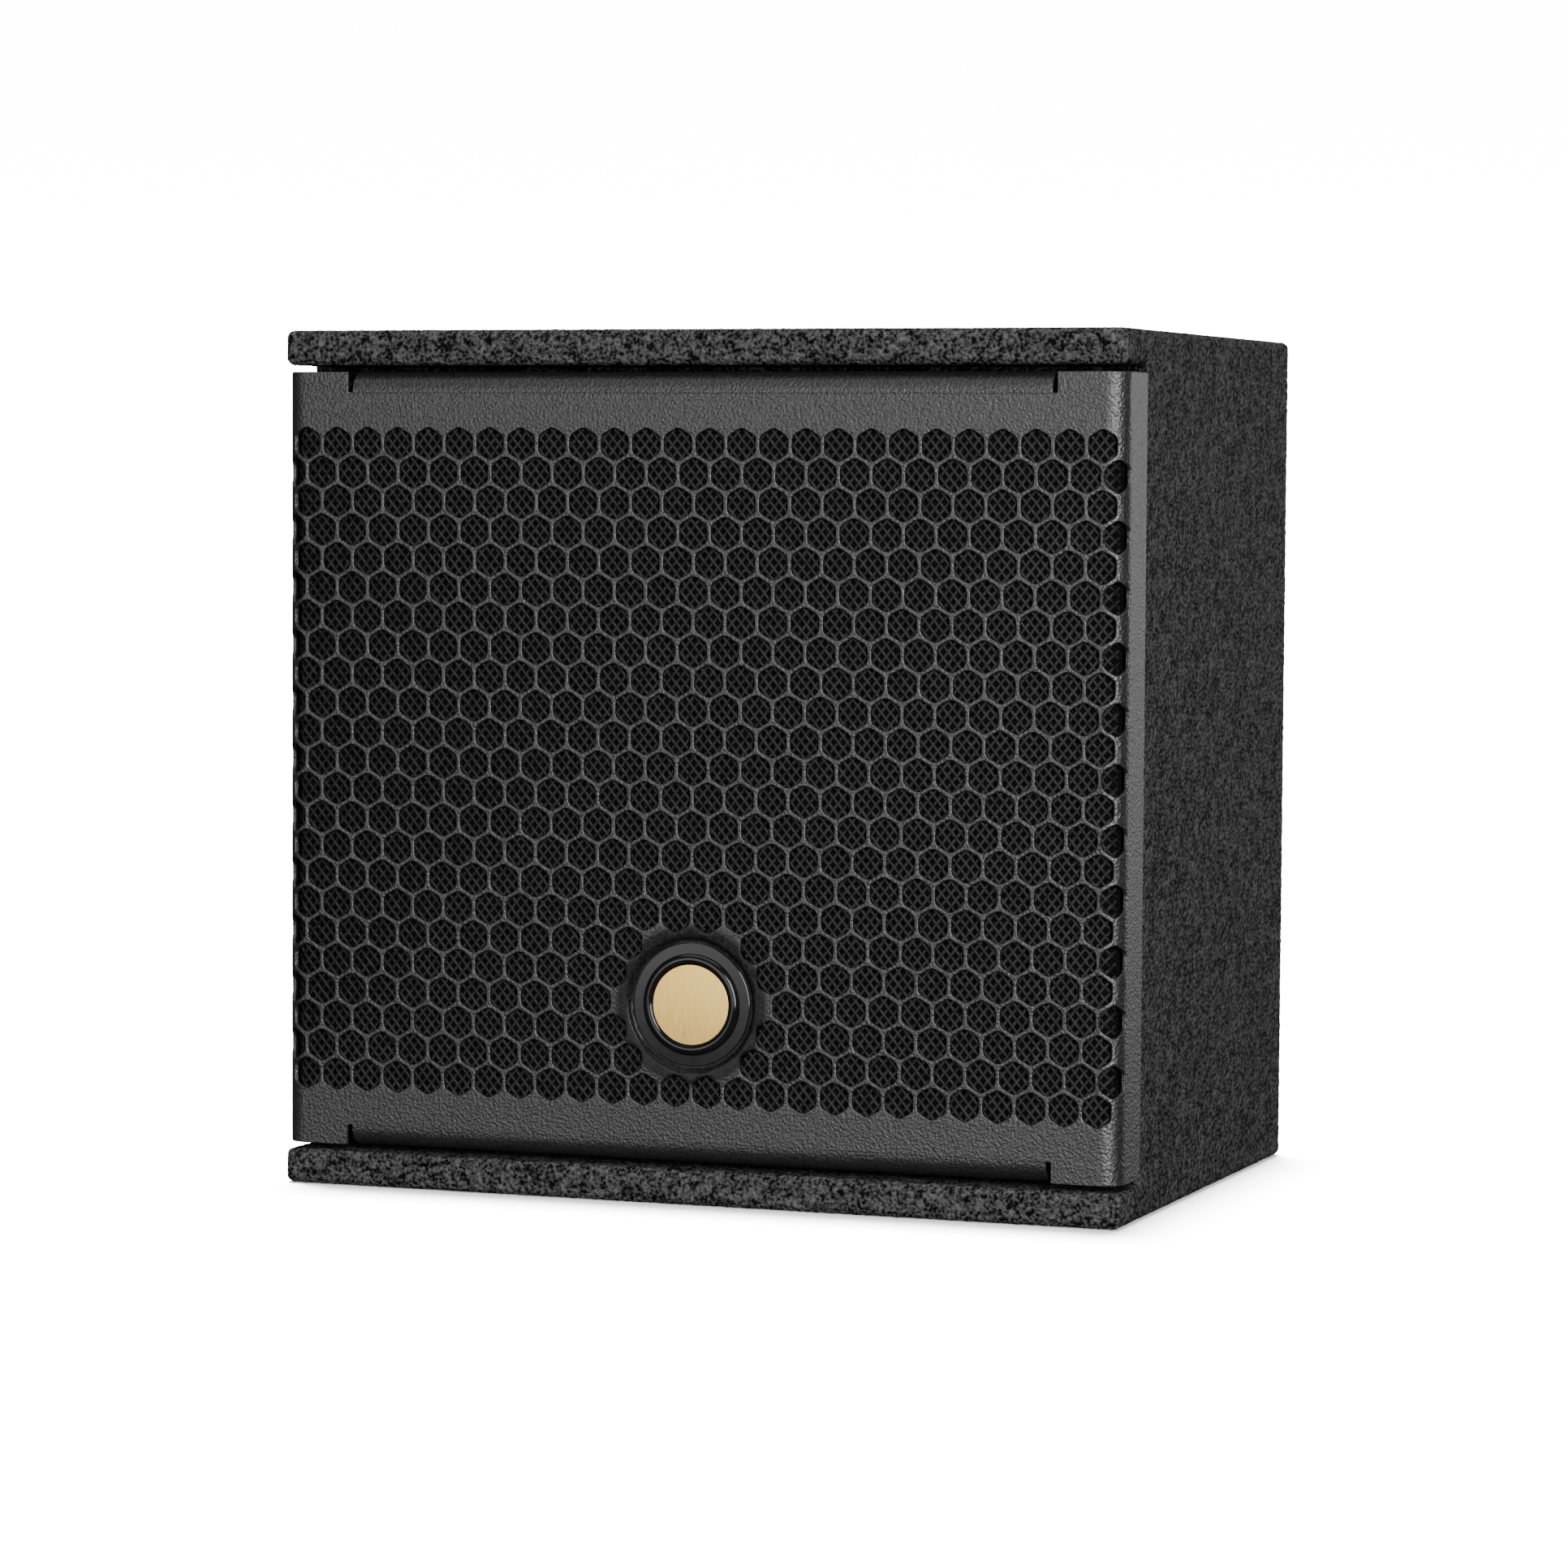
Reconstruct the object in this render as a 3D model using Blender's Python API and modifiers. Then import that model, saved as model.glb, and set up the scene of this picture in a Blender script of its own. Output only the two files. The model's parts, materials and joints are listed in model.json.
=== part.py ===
"""Compact PA speaker cabinet: a plywood box with a ten-inch coaxial driver behind a steel grille.

Metres, +Z up. The origin is the middle of the footprint, on the surface that the cabinet stands on,
and the grille faces -Y. Outlines of turned pieces are (radius, depth) pairs in millimetres, where
depth grows away from the face that the piece shows.
"""

import math

import bmesh
import bpy
from mathutils import Matrix, Vector

MM = 0.001
GAP = 0.3 * MM  # glue line or clearance between neighbours

# Cabinet
WIDTH = 0.368
DEPTH = 0.252
HEIGHT = 0.360
PLY = 0.015
OVERHANG = 0.031  # how far the top and bottom panels stand in front of the baffle
BACK_RECESS = 0.005
CHAMFER = 0.0025
FRONT = -DEPTH / 2
REAR = DEPTH / 2
BAFFLE_FRONT = FRONT + OVERHANG
BACK_REAR = REAR - BACK_RECESS
INNER_X = WIDTH / 2 - PLY - GAP
INNER_LOW = PLY + GAP
INNER_HIGH = HEIGHT - PLY - GAP
BRACE_Y = (0.055, 0.080)

# Grille
GRILLE_INSET = 0.001
SHEET = 0.0015
GRILLE_FRONT = FRONT + GRILLE_INSET
GRILLE_CLEAR = 0.0025  # slot between the grille and the top or bottom panel
GRILLE_LOW = PLY + GRILLE_CLEAR
GRILLE_HIGH = HEIGHT - PLY - GRILLE_CLEAR
SIDE_BEND = 0.0085
LIP_BEND = 0.008
LIP_DEPTH = 0.012
FLANGE_CLEAR = 0.001  # between the side flanges and the side panels
NOTCH_X = 0.154
NOTCH_WIDTH = 0.002
NOTCH_DEPTH = 0.0085
FOAM_THICK = 0.006
FOAM_X = 0.181
FOAM_Z = (0.0395, 0.3200)
FOAM_EASE = 0.005  # bevel of its long front edges, inside the grille's side bends
BADGE_Z = 0.0832
BADGE_HOLE = 0.0305
PAD_CUTOUT_R = 0.0285

# Grille magnets
MAGNETS = ((-0.140, 0.327), (0.140, 0.327), (-0.060, 0.0325), (0.060, 0.0325))
MAGNET_R = 0.0065
MAGNET_THICK = 0.005
MAGNET_FRONT = GRILLE_FRONT + SHEET + GAP

# Driver and ports
AXIS_Z = HEIGHT / 2
CUTOUT_R = 0.116
SCREW_CIRCLE = 0.125
SCREW_HOLE_R = 0.0028
PORT_X = 0.127
PORT_Z = 0.057
PORT_HOLE_R = 0.033
WINDOW_WIDTH = 0.066
WINDOW_FRONT = 0.014
WINDOW_BACK = 0.043

# Connector plate
PLATE_Z = 0.100
PLATE_SIZE = (0.132, 0.092)
PLATE_THICK = 0.002
BACK_HOLE = (0.108, 0.068)
SOCKET_X = 0.028
SOCKET_HOLE_R = 0.0122
SOCKET_FLANGE = (0.026, 0.031)
SOCKET_FLANGE_THICK = 0.0018
PLATE_SCREW_X = 0.060
PLATE_SCREW_Z = 0.040
PLATE_SCREW_HOLE_R = 0.0023

# Crossover
BOARD_X = 0.065
BOARD_Y = (0.005, 0.095)
BOARD_THICK = 0.0016
STANDOFF = 0.008
BOARD_LOW = PLY + GAP + STANDOFF + GAP
BOARD_HIGH = BOARD_LOW + BOARD_THICK
ON_BOARD = BOARD_HIGH + GAP

# Turning directions: a turned outline's depth runs away from the side that it faces
FACING_FRONT = Matrix.Rotation(math.pi / 2, 4, "X")
FACING_BACK = Matrix.Rotation(-math.pi / 2, 4, "X")
FACING_UP = Matrix.Identity(4)
FACING_SIDE = Matrix.Rotation(math.pi / 2, 4, "Y")
FINE = 32
COARSE = 16
SCREW_SIDES = 8
SHARP = math.radians(35)
WIRE_R = 0.0018
WIRE_STEPS = 3

for old in list(bpy.data.objects):
    bpy.data.objects.remove(old)

cabinet = bpy.data.collections.new("pa_speaker_cabinet")
cutters = bpy.data.collections.new("cutters")
bpy.context.scene.collection.children.link(cabinet)
bpy.context.scene.collection.children.link(cutters)


def material(name, colour, roughness, metallic=0.0):
    """A Principled material."""
    made = bpy.data.materials.new(name)
    made.use_nodes = True
    shader = made.node_tree.nodes["Principled BSDF"]
    shader.inputs["Base Color"].default_value = (*colour, 1)
    shader.inputs["Roughness"].default_value = roughness
    shader.inputs["Metallic"].default_value = metallic
    return made


COAT = material("textured_black_coat", (0.018, 0.018, 0.019), 0.62)
PLYWOOD = material("birch_plywood", (0.55, 0.40, 0.24), 0.6)
GRILLE_PAINT = material("grille_powder_coat", (0.045, 0.046, 0.048), 0.45, 0.3)
FOAM = material("acoustic_foam", (0.012, 0.012, 0.012), 0.95)
BADGE_BLACK = material("badge_black", (0.01, 0.01, 0.01), 0.15)
BADGE_GOLD = material("badge_gold", (0.75, 0.50, 0.16), 0.3, 1.0)
CAST_METAL = material("cast_aluminium", (0.05, 0.05, 0.052), 0.5, 0.6)
STEEL = material("plated_steel", (0.55, 0.55, 0.56), 0.35, 1.0)
BLACK_STEEL = material("blackened_steel", (0.03, 0.03, 0.032), 0.4, 0.8)
FERRITE = material("ferrite", (0.04, 0.04, 0.042), 0.7, 0.1)
PAPER = material("cone_paper", (0.022, 0.022, 0.023), 0.85)
RUBBER = material("black_rubber", (0.015, 0.015, 0.015), 0.7)
CLOTH = material("treated_cloth", (0.35, 0.24, 0.10), 0.9)
COIL = material("voice_coil_polyimide", (0.42, 0.22, 0.07), 0.4)
PLASTIC = material("black_plastic", (0.02, 0.02, 0.021), 0.4)
BOARD_GREEN = material("circuit_board", (0.02, 0.10, 0.05), 0.5)
COPPER = material("enamelled_copper", (0.55, 0.22, 0.10), 0.35, 1.0)
FILM = material("capacitor_film", (0.55, 0.40, 0.10), 0.4)
CERAMIC = material("resistor_ceramic", (0.75, 0.73, 0.68), 0.7)
WOOL = material("damping_wool", (0.45, 0.45, 0.43), 1.0)
TITANIUM = material("diaphragm_titanium", (0.5, 0.5, 0.52), 0.35, 1.0)


def place(name, mesh, mat, collection=cabinet):
    """An object of this mesh in a collection; a cutter has no material and stays out of renders."""
    made = bpy.data.objects.new(name, mesh)
    collection.objects.link(made)
    if mat is not None:
        mesh.materials.append(mat)
    if collection is cutters:
        made.hide_render = True
        made.display_type = "WIRE"
    return made


def mesh_of(bm, name):
    """The finished mesh of a bmesh."""
    mesh = bpy.data.meshes.new(name)
    bm.to_mesh(mesh)
    bm.free()
    return mesh


def block(name, low, high, mat, eased=None, collection=cabinet, ease=(CHAMFER, 2)):
    """A box between two corners. eased picks the edges that are bevelled, by their two ends."""
    low = Vector(low)
    high = Vector(high)
    bm = bmesh.new()
    size = Matrix.Diagonal((*(high - low), 1))
    bmesh.ops.create_cube(bm, size=1, matrix=Matrix.Translation((low + high) / 2) @ size)
    if eased:
        width, segments = ease
        picked = [edge for edge in bm.edges if eased(*(vert.co for vert in edge.verts))]
        bmesh.ops.bevel(bm, geom=picked, offset=width, segments=segments, profile=0.5, affect="EDGES")
    return place(name, mesh_of(bm, name), mat, collection)


def all_edges(one, other):
    """Eases every edge of a block."""
    return True


def turned(name, outline, centre, facing, mat, sides=FINE, collection=cabinet):
    """A turned piece. An outline off the axis at both ends is closed into a ring."""
    points = [(radius * MM, 0, -depth * MM) for radius, depth in outline]
    edges = [(index, index + 1) for index in range(len(points) - 1)]
    if outline[0][0] > 0 and outline[-1][0] > 0:
        edges.append((len(points) - 1, 0))
    profile = bpy.data.meshes.new(name)
    profile.from_pydata(points, edges, [])
    made = place(name, profile, None, collection)
    screw = made.modifiers.new("turn", "SCREW")
    screw.steps = sides
    screw.render_steps = sides
    screw.use_merge_vertices = True
    screw.merge_threshold = 0.00001
    graph = bpy.context.evaluated_depsgraph_get()
    solid = bpy.data.meshes.new_from_object(made.evaluated_get(graph))
    made.modifiers.clear()
    made.data = solid
    solid.name = name
    solid.transform(facing)
    solid.shade_smooth()
    solid.set_sharp_from_angle(angle=SHARP)
    if mat is not None:
        solid.materials.append(mat)
    made.location = centre
    return made


def change(target, tool, operation="DIFFERENCE"):
    """Cuts a cutter out of the target, or joins it on."""
    boolean = target.modifiers.new(tool.name, "BOOLEAN")
    boolean.operation = operation
    boolean.solver = "EXACT"
    boolean.object = tool


def drill(target, name, centre, radius, low, high, sides=FINE):
    """A round hole along Y, between two depths measured along +Y."""
    outline = [(0, low), (radius, low), (radius, high), (0, high)]
    outline = [(r / MM, d / MM) for r, d in outline]
    tool = turned(name, outline, (centre[0], 0, centre[1]), FACING_FRONT, None, sides, cutters)
    change(target, tool)


def opening(target, name, low, high):
    """A square-cornered hole."""
    change(target, block(name, low, high, None, collection=cutters))


def arc(centre, radius, start, end, steps):
    """Points on an arc, from one angle to another, in degrees."""
    angles = [math.radians(start + (end - start) * step / steps) for step in range(steps + 1)]
    return [(centre[0] + radius * math.cos(a), centre[1] + radius * math.sin(a)) for a in angles]


def four_ways(across, up):
    """The four places made by two signs, each with its number."""
    places = [(side * across, rise * up) for rise in (1, -1) for side in (-1, 1)]
    return enumerate(places, start=1)


def baffle_point(x, z):
    """A point on the baffle's front plane."""
    return (x, BAFFLE_FRONT, z)


def make_panels():
    """Top, bottom, two sides and the back, in birch plywood under the coat."""

    def outer(sign):
        level = HEIGHT / 2 + sign * HEIGHT / 2

        def picked(one, other):
            rim = abs(one.z - level) < MM and abs(other.z - level) < MM
            corner = abs(one.z - other.z) > MM
            return rim or corner

        return picked

    def rear_corner(one, other):
        upright = abs(one.z - other.z) > MM
        outside = abs(abs(one.x) - WIDTH / 2) < MM
        return upright and outside and one.y > 0

    half = WIDTH / 2
    top_low = (-half, FRONT, HEIGHT - PLY)
    block("top_panel", top_low, (half, REAR, HEIGHT), COAT, outer(1))
    block("bottom_panel", (-half, FRONT, 0), (half, REAR, PLY), COAT, outer(-1))
    inner = half - PLY
    left_low = (-half, BAFFLE_FRONT, INNER_LOW)
    block("left_panel", left_low, (-inner, REAR, INNER_HIGH), COAT, rear_corner)
    right_low = (inner, BAFFLE_FRONT, INNER_LOW)
    block("right_panel", right_low, (half, REAR, INNER_HIGH), COAT, rear_corner)

    back_low = (-INNER_X, BACK_REAR - PLY, INNER_LOW)
    back = block("back_panel", back_low, (INNER_X, BACK_REAR, INNER_HIGH), COAT)
    hole_x = BACK_HOLE[0] / 2
    hole_z = BACK_HOLE[1] / 2
    hole_low = (-hole_x, BACK_REAR - PLY - MM, PLATE_Z - hole_z)
    opening(back, "connector_cutout", hole_low, (hole_x, BACK_REAR + MM, PLATE_Z + hole_z))
    for number, (x, z) in four_ways(PLATE_SCREW_X, PLATE_SCREW_Z):
        start = BACK_REAR - 0.012
        centre = (x, PLATE_Z + z)
        drill(back, f"plate_pilot_{number}", centre, PLATE_SCREW_HOLE_R, start, REAR, SCREW_SIDES)


def make_baffle():
    """The coated front board, cut for the driver, the two ports and the driver's screws."""
    low = (-INNER_X, BAFFLE_FRONT, INNER_LOW)
    board = block("baffle", low, (INNER_X, BAFFLE_FRONT + PLY, INNER_HIGH), COAT)
    front = BAFFLE_FRONT - MM
    back = BAFFLE_FRONT + PLY + MM
    drill(board, "driver_cutout", (0, AXIS_Z), CUTOUT_R, front, back)
    for side, x in (("left", -PORT_X), ("right", PORT_X)):
        drill(board, f"{side}_port_cutout", (x, PORT_Z), PORT_HOLE_R, front, back)
    for number, (x, z) in driver_screw_places():
        name = f"driver_pilot_{number}"
        drill(board, name, (x, AXIS_Z + z), SCREW_HOLE_R, front, back, SCREW_SIDES)


def driver_screw_places():
    """Where the four driver screws stand, from the driver's axis."""
    step = SCREW_CIRCLE / math.sqrt(2)
    return four_ways(step, step)


def make_brace():
    """A bar that ties the two side panels together behind the driver."""
    thick = PLY / 2
    low = (-INNER_X, BRACE_Y[0], AXIS_Z - thick)
    block("cross_brace", low, (INNER_X, BRACE_Y[1], AXIS_Z + thick), PLYWOOD)


def grille_plan():
    """The grille's outer outline from above, from the left flange's rear edge to the right one's."""
    flange_rear = BAFFLE_FRONT - FLANGE_CLEAR
    bend_x = WIDTH / 2 - SIDE_BEND
    bend_y = GRILLE_FRONT + SIDE_BEND
    right = [(NOTCH_X - NOTCH_WIDTH / 2, GRILLE_FRONT), (NOTCH_X + NOTCH_WIDTH / 2, GRILLE_FRONT)]
    right += arc((bend_x, bend_y), SIDE_BEND, -90, 0, 6)
    right.append((WIDTH / 2, flange_rear))
    return [(-x, y) for x, y in reversed(right)] + right


def make_grille():
    """One folded steel sheet: wrapped round both sides, lips bent back between relief notches."""
    plan = grille_plan()
    levels = [GRILLE_LOW, GRILLE_LOW + NOTCH_DEPTH, GRILLE_HIGH - NOTCH_DEPTH, GRILLE_HIGH]
    bm = bmesh.new()
    rows = [[bm.verts.new((x, y, z)) for x, y in plan] for z in levels]
    middle = len(plan) // 2
    notches = (middle - 2, middle - 1, middle)
    for level in range(3):
        for column in range(len(plan) - 1):
            if level != 1 and column in notches:
                continue
            low, high = rows[level], rows[level + 1]
            bm.faces.new((low[column], low[column + 1], high[column + 1], high[column]))
    left, right = middle - 1, middle
    for row, edge, sign in ((rows[2], GRILLE_HIGH, 1), (rows[1], GRILLE_LOW, -1)):
        previous = (row[left], row[right])
        centre = (GRILLE_FRONT + LIP_BEND, edge - sign * LIP_BEND)
        section = arc(centre, LIP_BEND, 180, 180 - sign * 90, 5)
        section.append((GRILLE_FRONT + LIP_DEPTH, edge))
        for y, z in section:
            pair = tuple(bm.verts.new((plan[column][0], y, z)) for column in (left, right))
            corners = (previous[0], previous[1], pair[1], pair[0])
            bm.faces.new(corners if sign > 0 else corners[::-1])
            previous = pair
    loose = [vert for vert in bm.verts if not vert.link_faces]
    bmesh.ops.delete(bm, geom=loose, context="VERTS")
    grille = place("grille", mesh_of(bm, "grille"), GRILLE_PAINT)
    shell = grille.modifiers.new("sheet", "SOLIDIFY")
    shell.thickness = SHEET
    shell.offset = -1
    shell.use_even_offset = True

    centre = (0, GRILLE_FRONT, BADGE_Z)
    front = GRILLE_FRONT - MM
    drill(grille, "badge_pad_cutout", (0, BADGE_Z), PAD_CUTOUT_R, front, front + 4 * MM)
    dish = [(0, 1.8), (26.5, 1.8), (28.3, 0.2), (30, 0.2), (30, 1.3), (28.9, 1.3), (27.3, 3.3), (0, 3.3)]
    change(grille, turned("badge_pad", dish, centre, FACING_FRONT, None, FINE, cutters), "UNION")


def make_grille_foam():
    """The foam sheet glued inside the grille behind its holes, open behind the badge pad."""
    front = GRILLE_FRONT + SHEET + GAP
    low = (-FOAM_X, front, FOAM_Z[0])
    high = (FOAM_X, front + FOAM_THICK, FOAM_Z[1])

    def long_front_edge(one, other):
        upright = abs(one.z - other.z) > MM
        return upright and one.y < front + MM

    foam = block("grille_foam", low, high, FOAM, long_front_edge, ease=(FOAM_EASE, 1))
    back = front + FOAM_THICK + MM
    drill(foam, "foam_badge_hole", (0, BADGE_Z), BADGE_HOLE, front - MM, back)


def make_badge():
    """A plain round badge in the dished pad: a black rim on its flange, round a blank gold disc."""
    centre = (0, GRILLE_FRONT, BADGE_Z)
    rim = [(0, 0.4), (17, 0.4), (17, -0.6), (18, -0.9), (20, -0.9), (21, 0.1), (21, 1)]
    rim += [(25.5, 1), (25.5, 1.5), (0, 1.5)]
    turned("badge_rim", rim, centre, FACING_FRONT, BADGE_BLACK)
    disc = [(0, -0.5), (12, -0.4), (16.3, -0.1), (16.7, 0.1), (0, 0.1)]
    turned("badge_disc", disc, centre, FACING_FRONT, BADGE_GOLD)


def make_grille_magnets():
    """Four posts on the baffle, each with a pot magnet that holds the grille by its plain bands."""
    post_back = BAFFLE_FRONT - GAP
    post_front = MAGNET_FRONT + MAGNET_THICK + GAP
    length = (post_back - post_front) / MM
    radius = MAGNET_R / MM
    post = [(0, 0), (radius, 0), (radius, length), (0, length)]
    thick = MAGNET_THICK / MM
    magnet = [(0, 0), (radius - 0.5, 0), (radius, 0.5), (radius, thick), (0, thick)]
    for number, (x, z) in enumerate(MAGNETS, start=1):
        turned(f"magnet_post_{number}", post, (x, post_front, z), FACING_FRONT, PLASTIC, COARSE)
        turned(f"pot_magnet_{number}", magnet, (x, MAGNET_FRONT, z), FACING_FRONT, STEEL, COARSE)


def make_basket():
    """The driver's cast frame: flange, windowed cone, spider shelf, magnet seat, terminal lug."""
    centre = baffle_point(0, AXIS_Z)
    outside = [(130.5, -5), (130.5, -0.3), (115.2, -0.3), (114, 8), (78, 54), (78, 59.7)]
    inside = [(46, 59.7), (46, 56), (66, 56), (66, 49), (78, 49), (110.5, 8), (110.5, -5)]
    basket = turned("driver_basket", outside + inside, centre, FACING_FRONT, CAST_METAL)
    for number, angle in enumerate((0, 60, 120), start=1):
        half = WINDOW_WIDTH / 2
        low = (-0.140, BAFFLE_FRONT + WINDOW_FRONT, -half)
        high = (0.140, BAFFLE_FRONT + WINDOW_BACK, half)
        tool = block(f"basket_window_{number}", low, high, None, collection=cutters)
        tool.data.transform(Matrix.Rotation(math.radians(angle), 4, "Y"))
        tool.location = (0, 0, AXIS_Z)
        change(basket, tool)
    for number, (x, z) in driver_screw_places():
        name = f"flange_hole_{number}"
        flange = (BAFFLE_FRONT - 7 * MM, BAFFLE_FRONT + MM)
        drill(basket, name, (x, AXIS_Z + z), SCREW_HOLE_R, *flange, SCREW_SIDES)
    lug_low = (-0.008, BAFFLE_FRONT + 0.018, AXIS_Z - 0.111)
    lug_high = (0.008, BAFFLE_FRONT + 0.030, AXIS_Z - 0.0975)
    change(basket, block("terminal_lug", lug_low, lug_high, None, collection=cutters), "UNION")


def make_driver_rim():
    """The gasket over the surround's lip, and the four screws that hold the driver."""
    centre = baffle_point(0, AXIS_Z)
    gasket = [(119, -9), (119, -6.7), (113, -6.7), (113, -9)]
    turned("driver_gasket", gasket, centre, FACING_FRONT, RUBBER)
    screw = [(0, -8.8), (3.4, -8.6), (4.6, -7.4), (4.6, -5.3), (2.5, -5.3), (2.5, 12), (0, 13.5)]
    for number, (x, z) in driver_screw_places():
        where = baffle_point(x, AXIS_Z + z)
        turned(f"driver_screw_{number}", screw, where, FACING_FRONT, BLACK_STEEL, SCREW_SIDES)


def make_surround():
    """The half-roll edge that lets the cone travel."""
    centre = baffle_point(0, AXIS_Z)
    roll = (105, -5.9)
    over = arc(roll, 7.5, 0, -180, 6)
    under = arc(roll, 6.5, -180, 0, 6)
    outline = [(119, -6.4), (119, -5.4)]
    outline += [(111.5, -5.4)] + under[::-1][1:-1] + [(98.5, -5.4), (91.5, -5.4), (91.5, -6.4)]
    outline += over[::-1][:-1] + [(112.5, -6.4)]
    turned("surround", outline, centre, FACING_FRONT, RUBBER)


def make_cone():
    """The paper cone, its rim flat for the surround and its neck glued to the coil former."""
    centre = baffle_point(0, AXIS_Z)
    steps = 4
    sweep = [index / steps for index in range(steps + 1)]
    back = [(91 - 56 * t**0.9, -3.9 + 38 * t**1.15) for t in sweep]
    face = [(91 - 57 * t**0.9, -5.1 + 38 * t**1.15) for t in sweep]
    outline = [(97.5, -5.1), (97.5, -3.9)] + back + [(35, 37.5), (33.9, 37.5)] + face[::-1]
    turned("cone", outline, centre, FACING_FRONT, PAPER)


def make_voice_coil():
    """The former, with the winding at its rear end in the magnet gap."""
    centre = baffle_point(0, AXIS_Z)
    outline = [(33.5, 34.5), (33.5, 57), (34.4, 57), (34.4, 71), (33.5, 71), (33.5, 78), (32.9, 78)]
    outline.append((32.9, 34.5))
    turned("voice_coil", outline, centre, FACING_FRONT, COIL)


def make_spider():
    """The corrugated disc that centres the coil."""
    centre = baffle_point(0, AXIS_Z)
    ridges = [(39 + 6 * index, 47.0 if index % 2 else 49.0) for index in range(5)]
    front = [(33.9, 48), (36, 48)] + ridges + [(66, 48), (71, 48)]
    back = [(radius, depth + 0.7) for radius, depth in reversed(front)]
    outline = [(71, 48)] + back + front[:-1]
    turned("spider", outline, centre, FACING_FRONT, CLOTH)


def make_motor():
    """The woofer's magnet stack: front plate, ferrite ring, and back plate with its bored pole."""
    centre = baffle_point(0, AXIS_Z)
    plate = [(70, 60), (70, 68), (35.2, 68), (35.2, 60)]
    turned("front_plate", plate, centre, FACING_FRONT, STEEL)
    ring = [(76, 68.3), (78, 70), (78, 86.6), (76, 88.3), (42, 88.3), (42, 68.3)]
    turned("ring_magnet", ring, centre, FACING_FRONT, FERRITE)
    pole = [(31.9, 60), (31.9, 88.6), (72, 88.6), (72, 96.6), (12.7, 96.6), (12.7, 60)]
    turned("yoke", pole, centre, FACING_FRONT, STEEL)


def make_treble_unit():
    """The compression driver behind the yoke, and the horn that carries its sound through the pole."""
    centre = baffle_point(0, AXIS_Z)
    throat, mouth, start, length = 12.7, 40, 59.7, 57.7
    flare = math.log(mouth / throat) / length
    steps = 4
    inside = []
    for index in range(steps + 1):
        along = length * index / steps
        inside.append((throat * math.exp(flare * along), start - along))
    outside = [(radius + 2.5, depth) for radius, depth in inside[1:]]
    outline = outside[::-1] + [(28, 56), (28, start)] + inside
    turned("treble_horn", outline, centre, FACING_FRONT, PLASTIC)
    motor = [(44, 96.9), (45, 98), (45, 121), (44, 122), (12.7, 122), (12.7, 96.9)]
    turned("treble_motor", motor, centre, FACING_FRONT, FERRITE)
    dome = arc((0, 137), 14.5, -90, -25, 3)
    skin = arc((0, 137), 14, -25, -90, 3)
    edge = [(22, 130.9), (22, 131.4)]
    outline = dome + edge + skin
    turned("treble_diaphragm", outline, centre, FACING_FRONT, TITANIUM, COARSE)
    cover = [(45, 122.3), (45, 141), (41, 145), (0, 145), (0, 142), (40, 142), (42, 140), (42, 122.3)]
    turned("treble_cover", cover, centre, FACING_FRONT, PLASTIC, COARSE)


def make_ports():
    """Two flared reflex tubes in the baffle's lower corners."""
    flare = arc((38, 5.5), 8, -90, -180, 3)
    outline = [(38, -2.5), (38, -0.3), (32.7, -0.3), (32.7, 118), (30, 118)] + flare[::-1]
    for side, x in (("left", -PORT_X), ("right", PORT_X)):
        turned(f"{side}_port_tube", outline, baffle_point(x, PORT_Z), FACING_FRONT, PLASTIC)


def make_connector_plate():
    """The rear plate with its two round locking sockets and four screws."""
    low_y = BACK_REAR + GAP
    half_x, half_z = PLATE_SIZE[0] / 2, PLATE_SIZE[1] / 2
    low = (-half_x, low_y, PLATE_Z - half_z)
    plate = block("connector_plate", low, (half_x, low_y + PLATE_THICK, PLATE_Z + half_z), BLACK_STEEL)
    face = low_y + PLATE_THICK
    for number, (x, z) in four_ways(PLATE_SCREW_X, PLATE_SCREW_Z):
        centre = (x, PLATE_Z + z)
        drill(plate, f"plate_hole_{number}", centre, PLATE_SCREW_HOLE_R, low_y - MM, REAR, SCREW_SIDES)
        screw = [(0, -1.6), (2.6, -1.4), (3.8, -0.5), (3.8, -0.2), (2, -0.2), (2, 12), (0, 13)]
        where = (x, face, PLATE_Z + z)
        turned(f"plate_screw_{number}", screw, where, FACING_BACK, BLACK_STEEL, SCREW_SIDES)
    flange_x, flange_z = SOCKET_FLANGE[0] / 2, SOCKET_FLANGE[1] / 2
    for name, x in (("input_socket", -SOCKET_X), ("link_socket", SOCKET_X)):
        drill(plate, f"{name}_hole", (x, PLATE_Z), SOCKET_HOLE_R, low_y - MM, REAR, COARSE)
        low = (x - flange_x, face + GAP, PLATE_Z - flange_z)
        high = (x + flange_x, face + GAP + SOCKET_FLANGE_THICK, PLATE_Z + flange_z)
        socket = block(name, low, high, PLASTIC)
        centre = (x, high[1], PLATE_Z)
        barrel = [(0, 0.8), (11.8, 0.8), (11.8, 26), (0, 26)]
        tool = turned(f"{name}_barrel", barrel, centre, FACING_BACK, None, COARSE, cutters)
        change(socket, tool, "UNION")
        recess = [(0, -1), (10.6, -1), (10.6, 18), (6.2, 18), (6.2, 8), (0, 8)]
        change(socket, turned(f"{name}_recess", recess, centre, FACING_BACK, None, COARSE, cutters))
        for number, (dx, dz) in four_ways(0.006, 0.006):
            blade_low = (x + dx - 0.0024, high[1] - 0.034, PLATE_Z + dz - 0.0004)
            blade_high = (x + dx + 0.0024, high[1] - 0.0255, PLATE_Z + dz + 0.0004)
            blade = block(f"{name}_tab_{number}", blade_low, blade_high, None, collection=cutters)
            change(socket, blade, "UNION")


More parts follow.
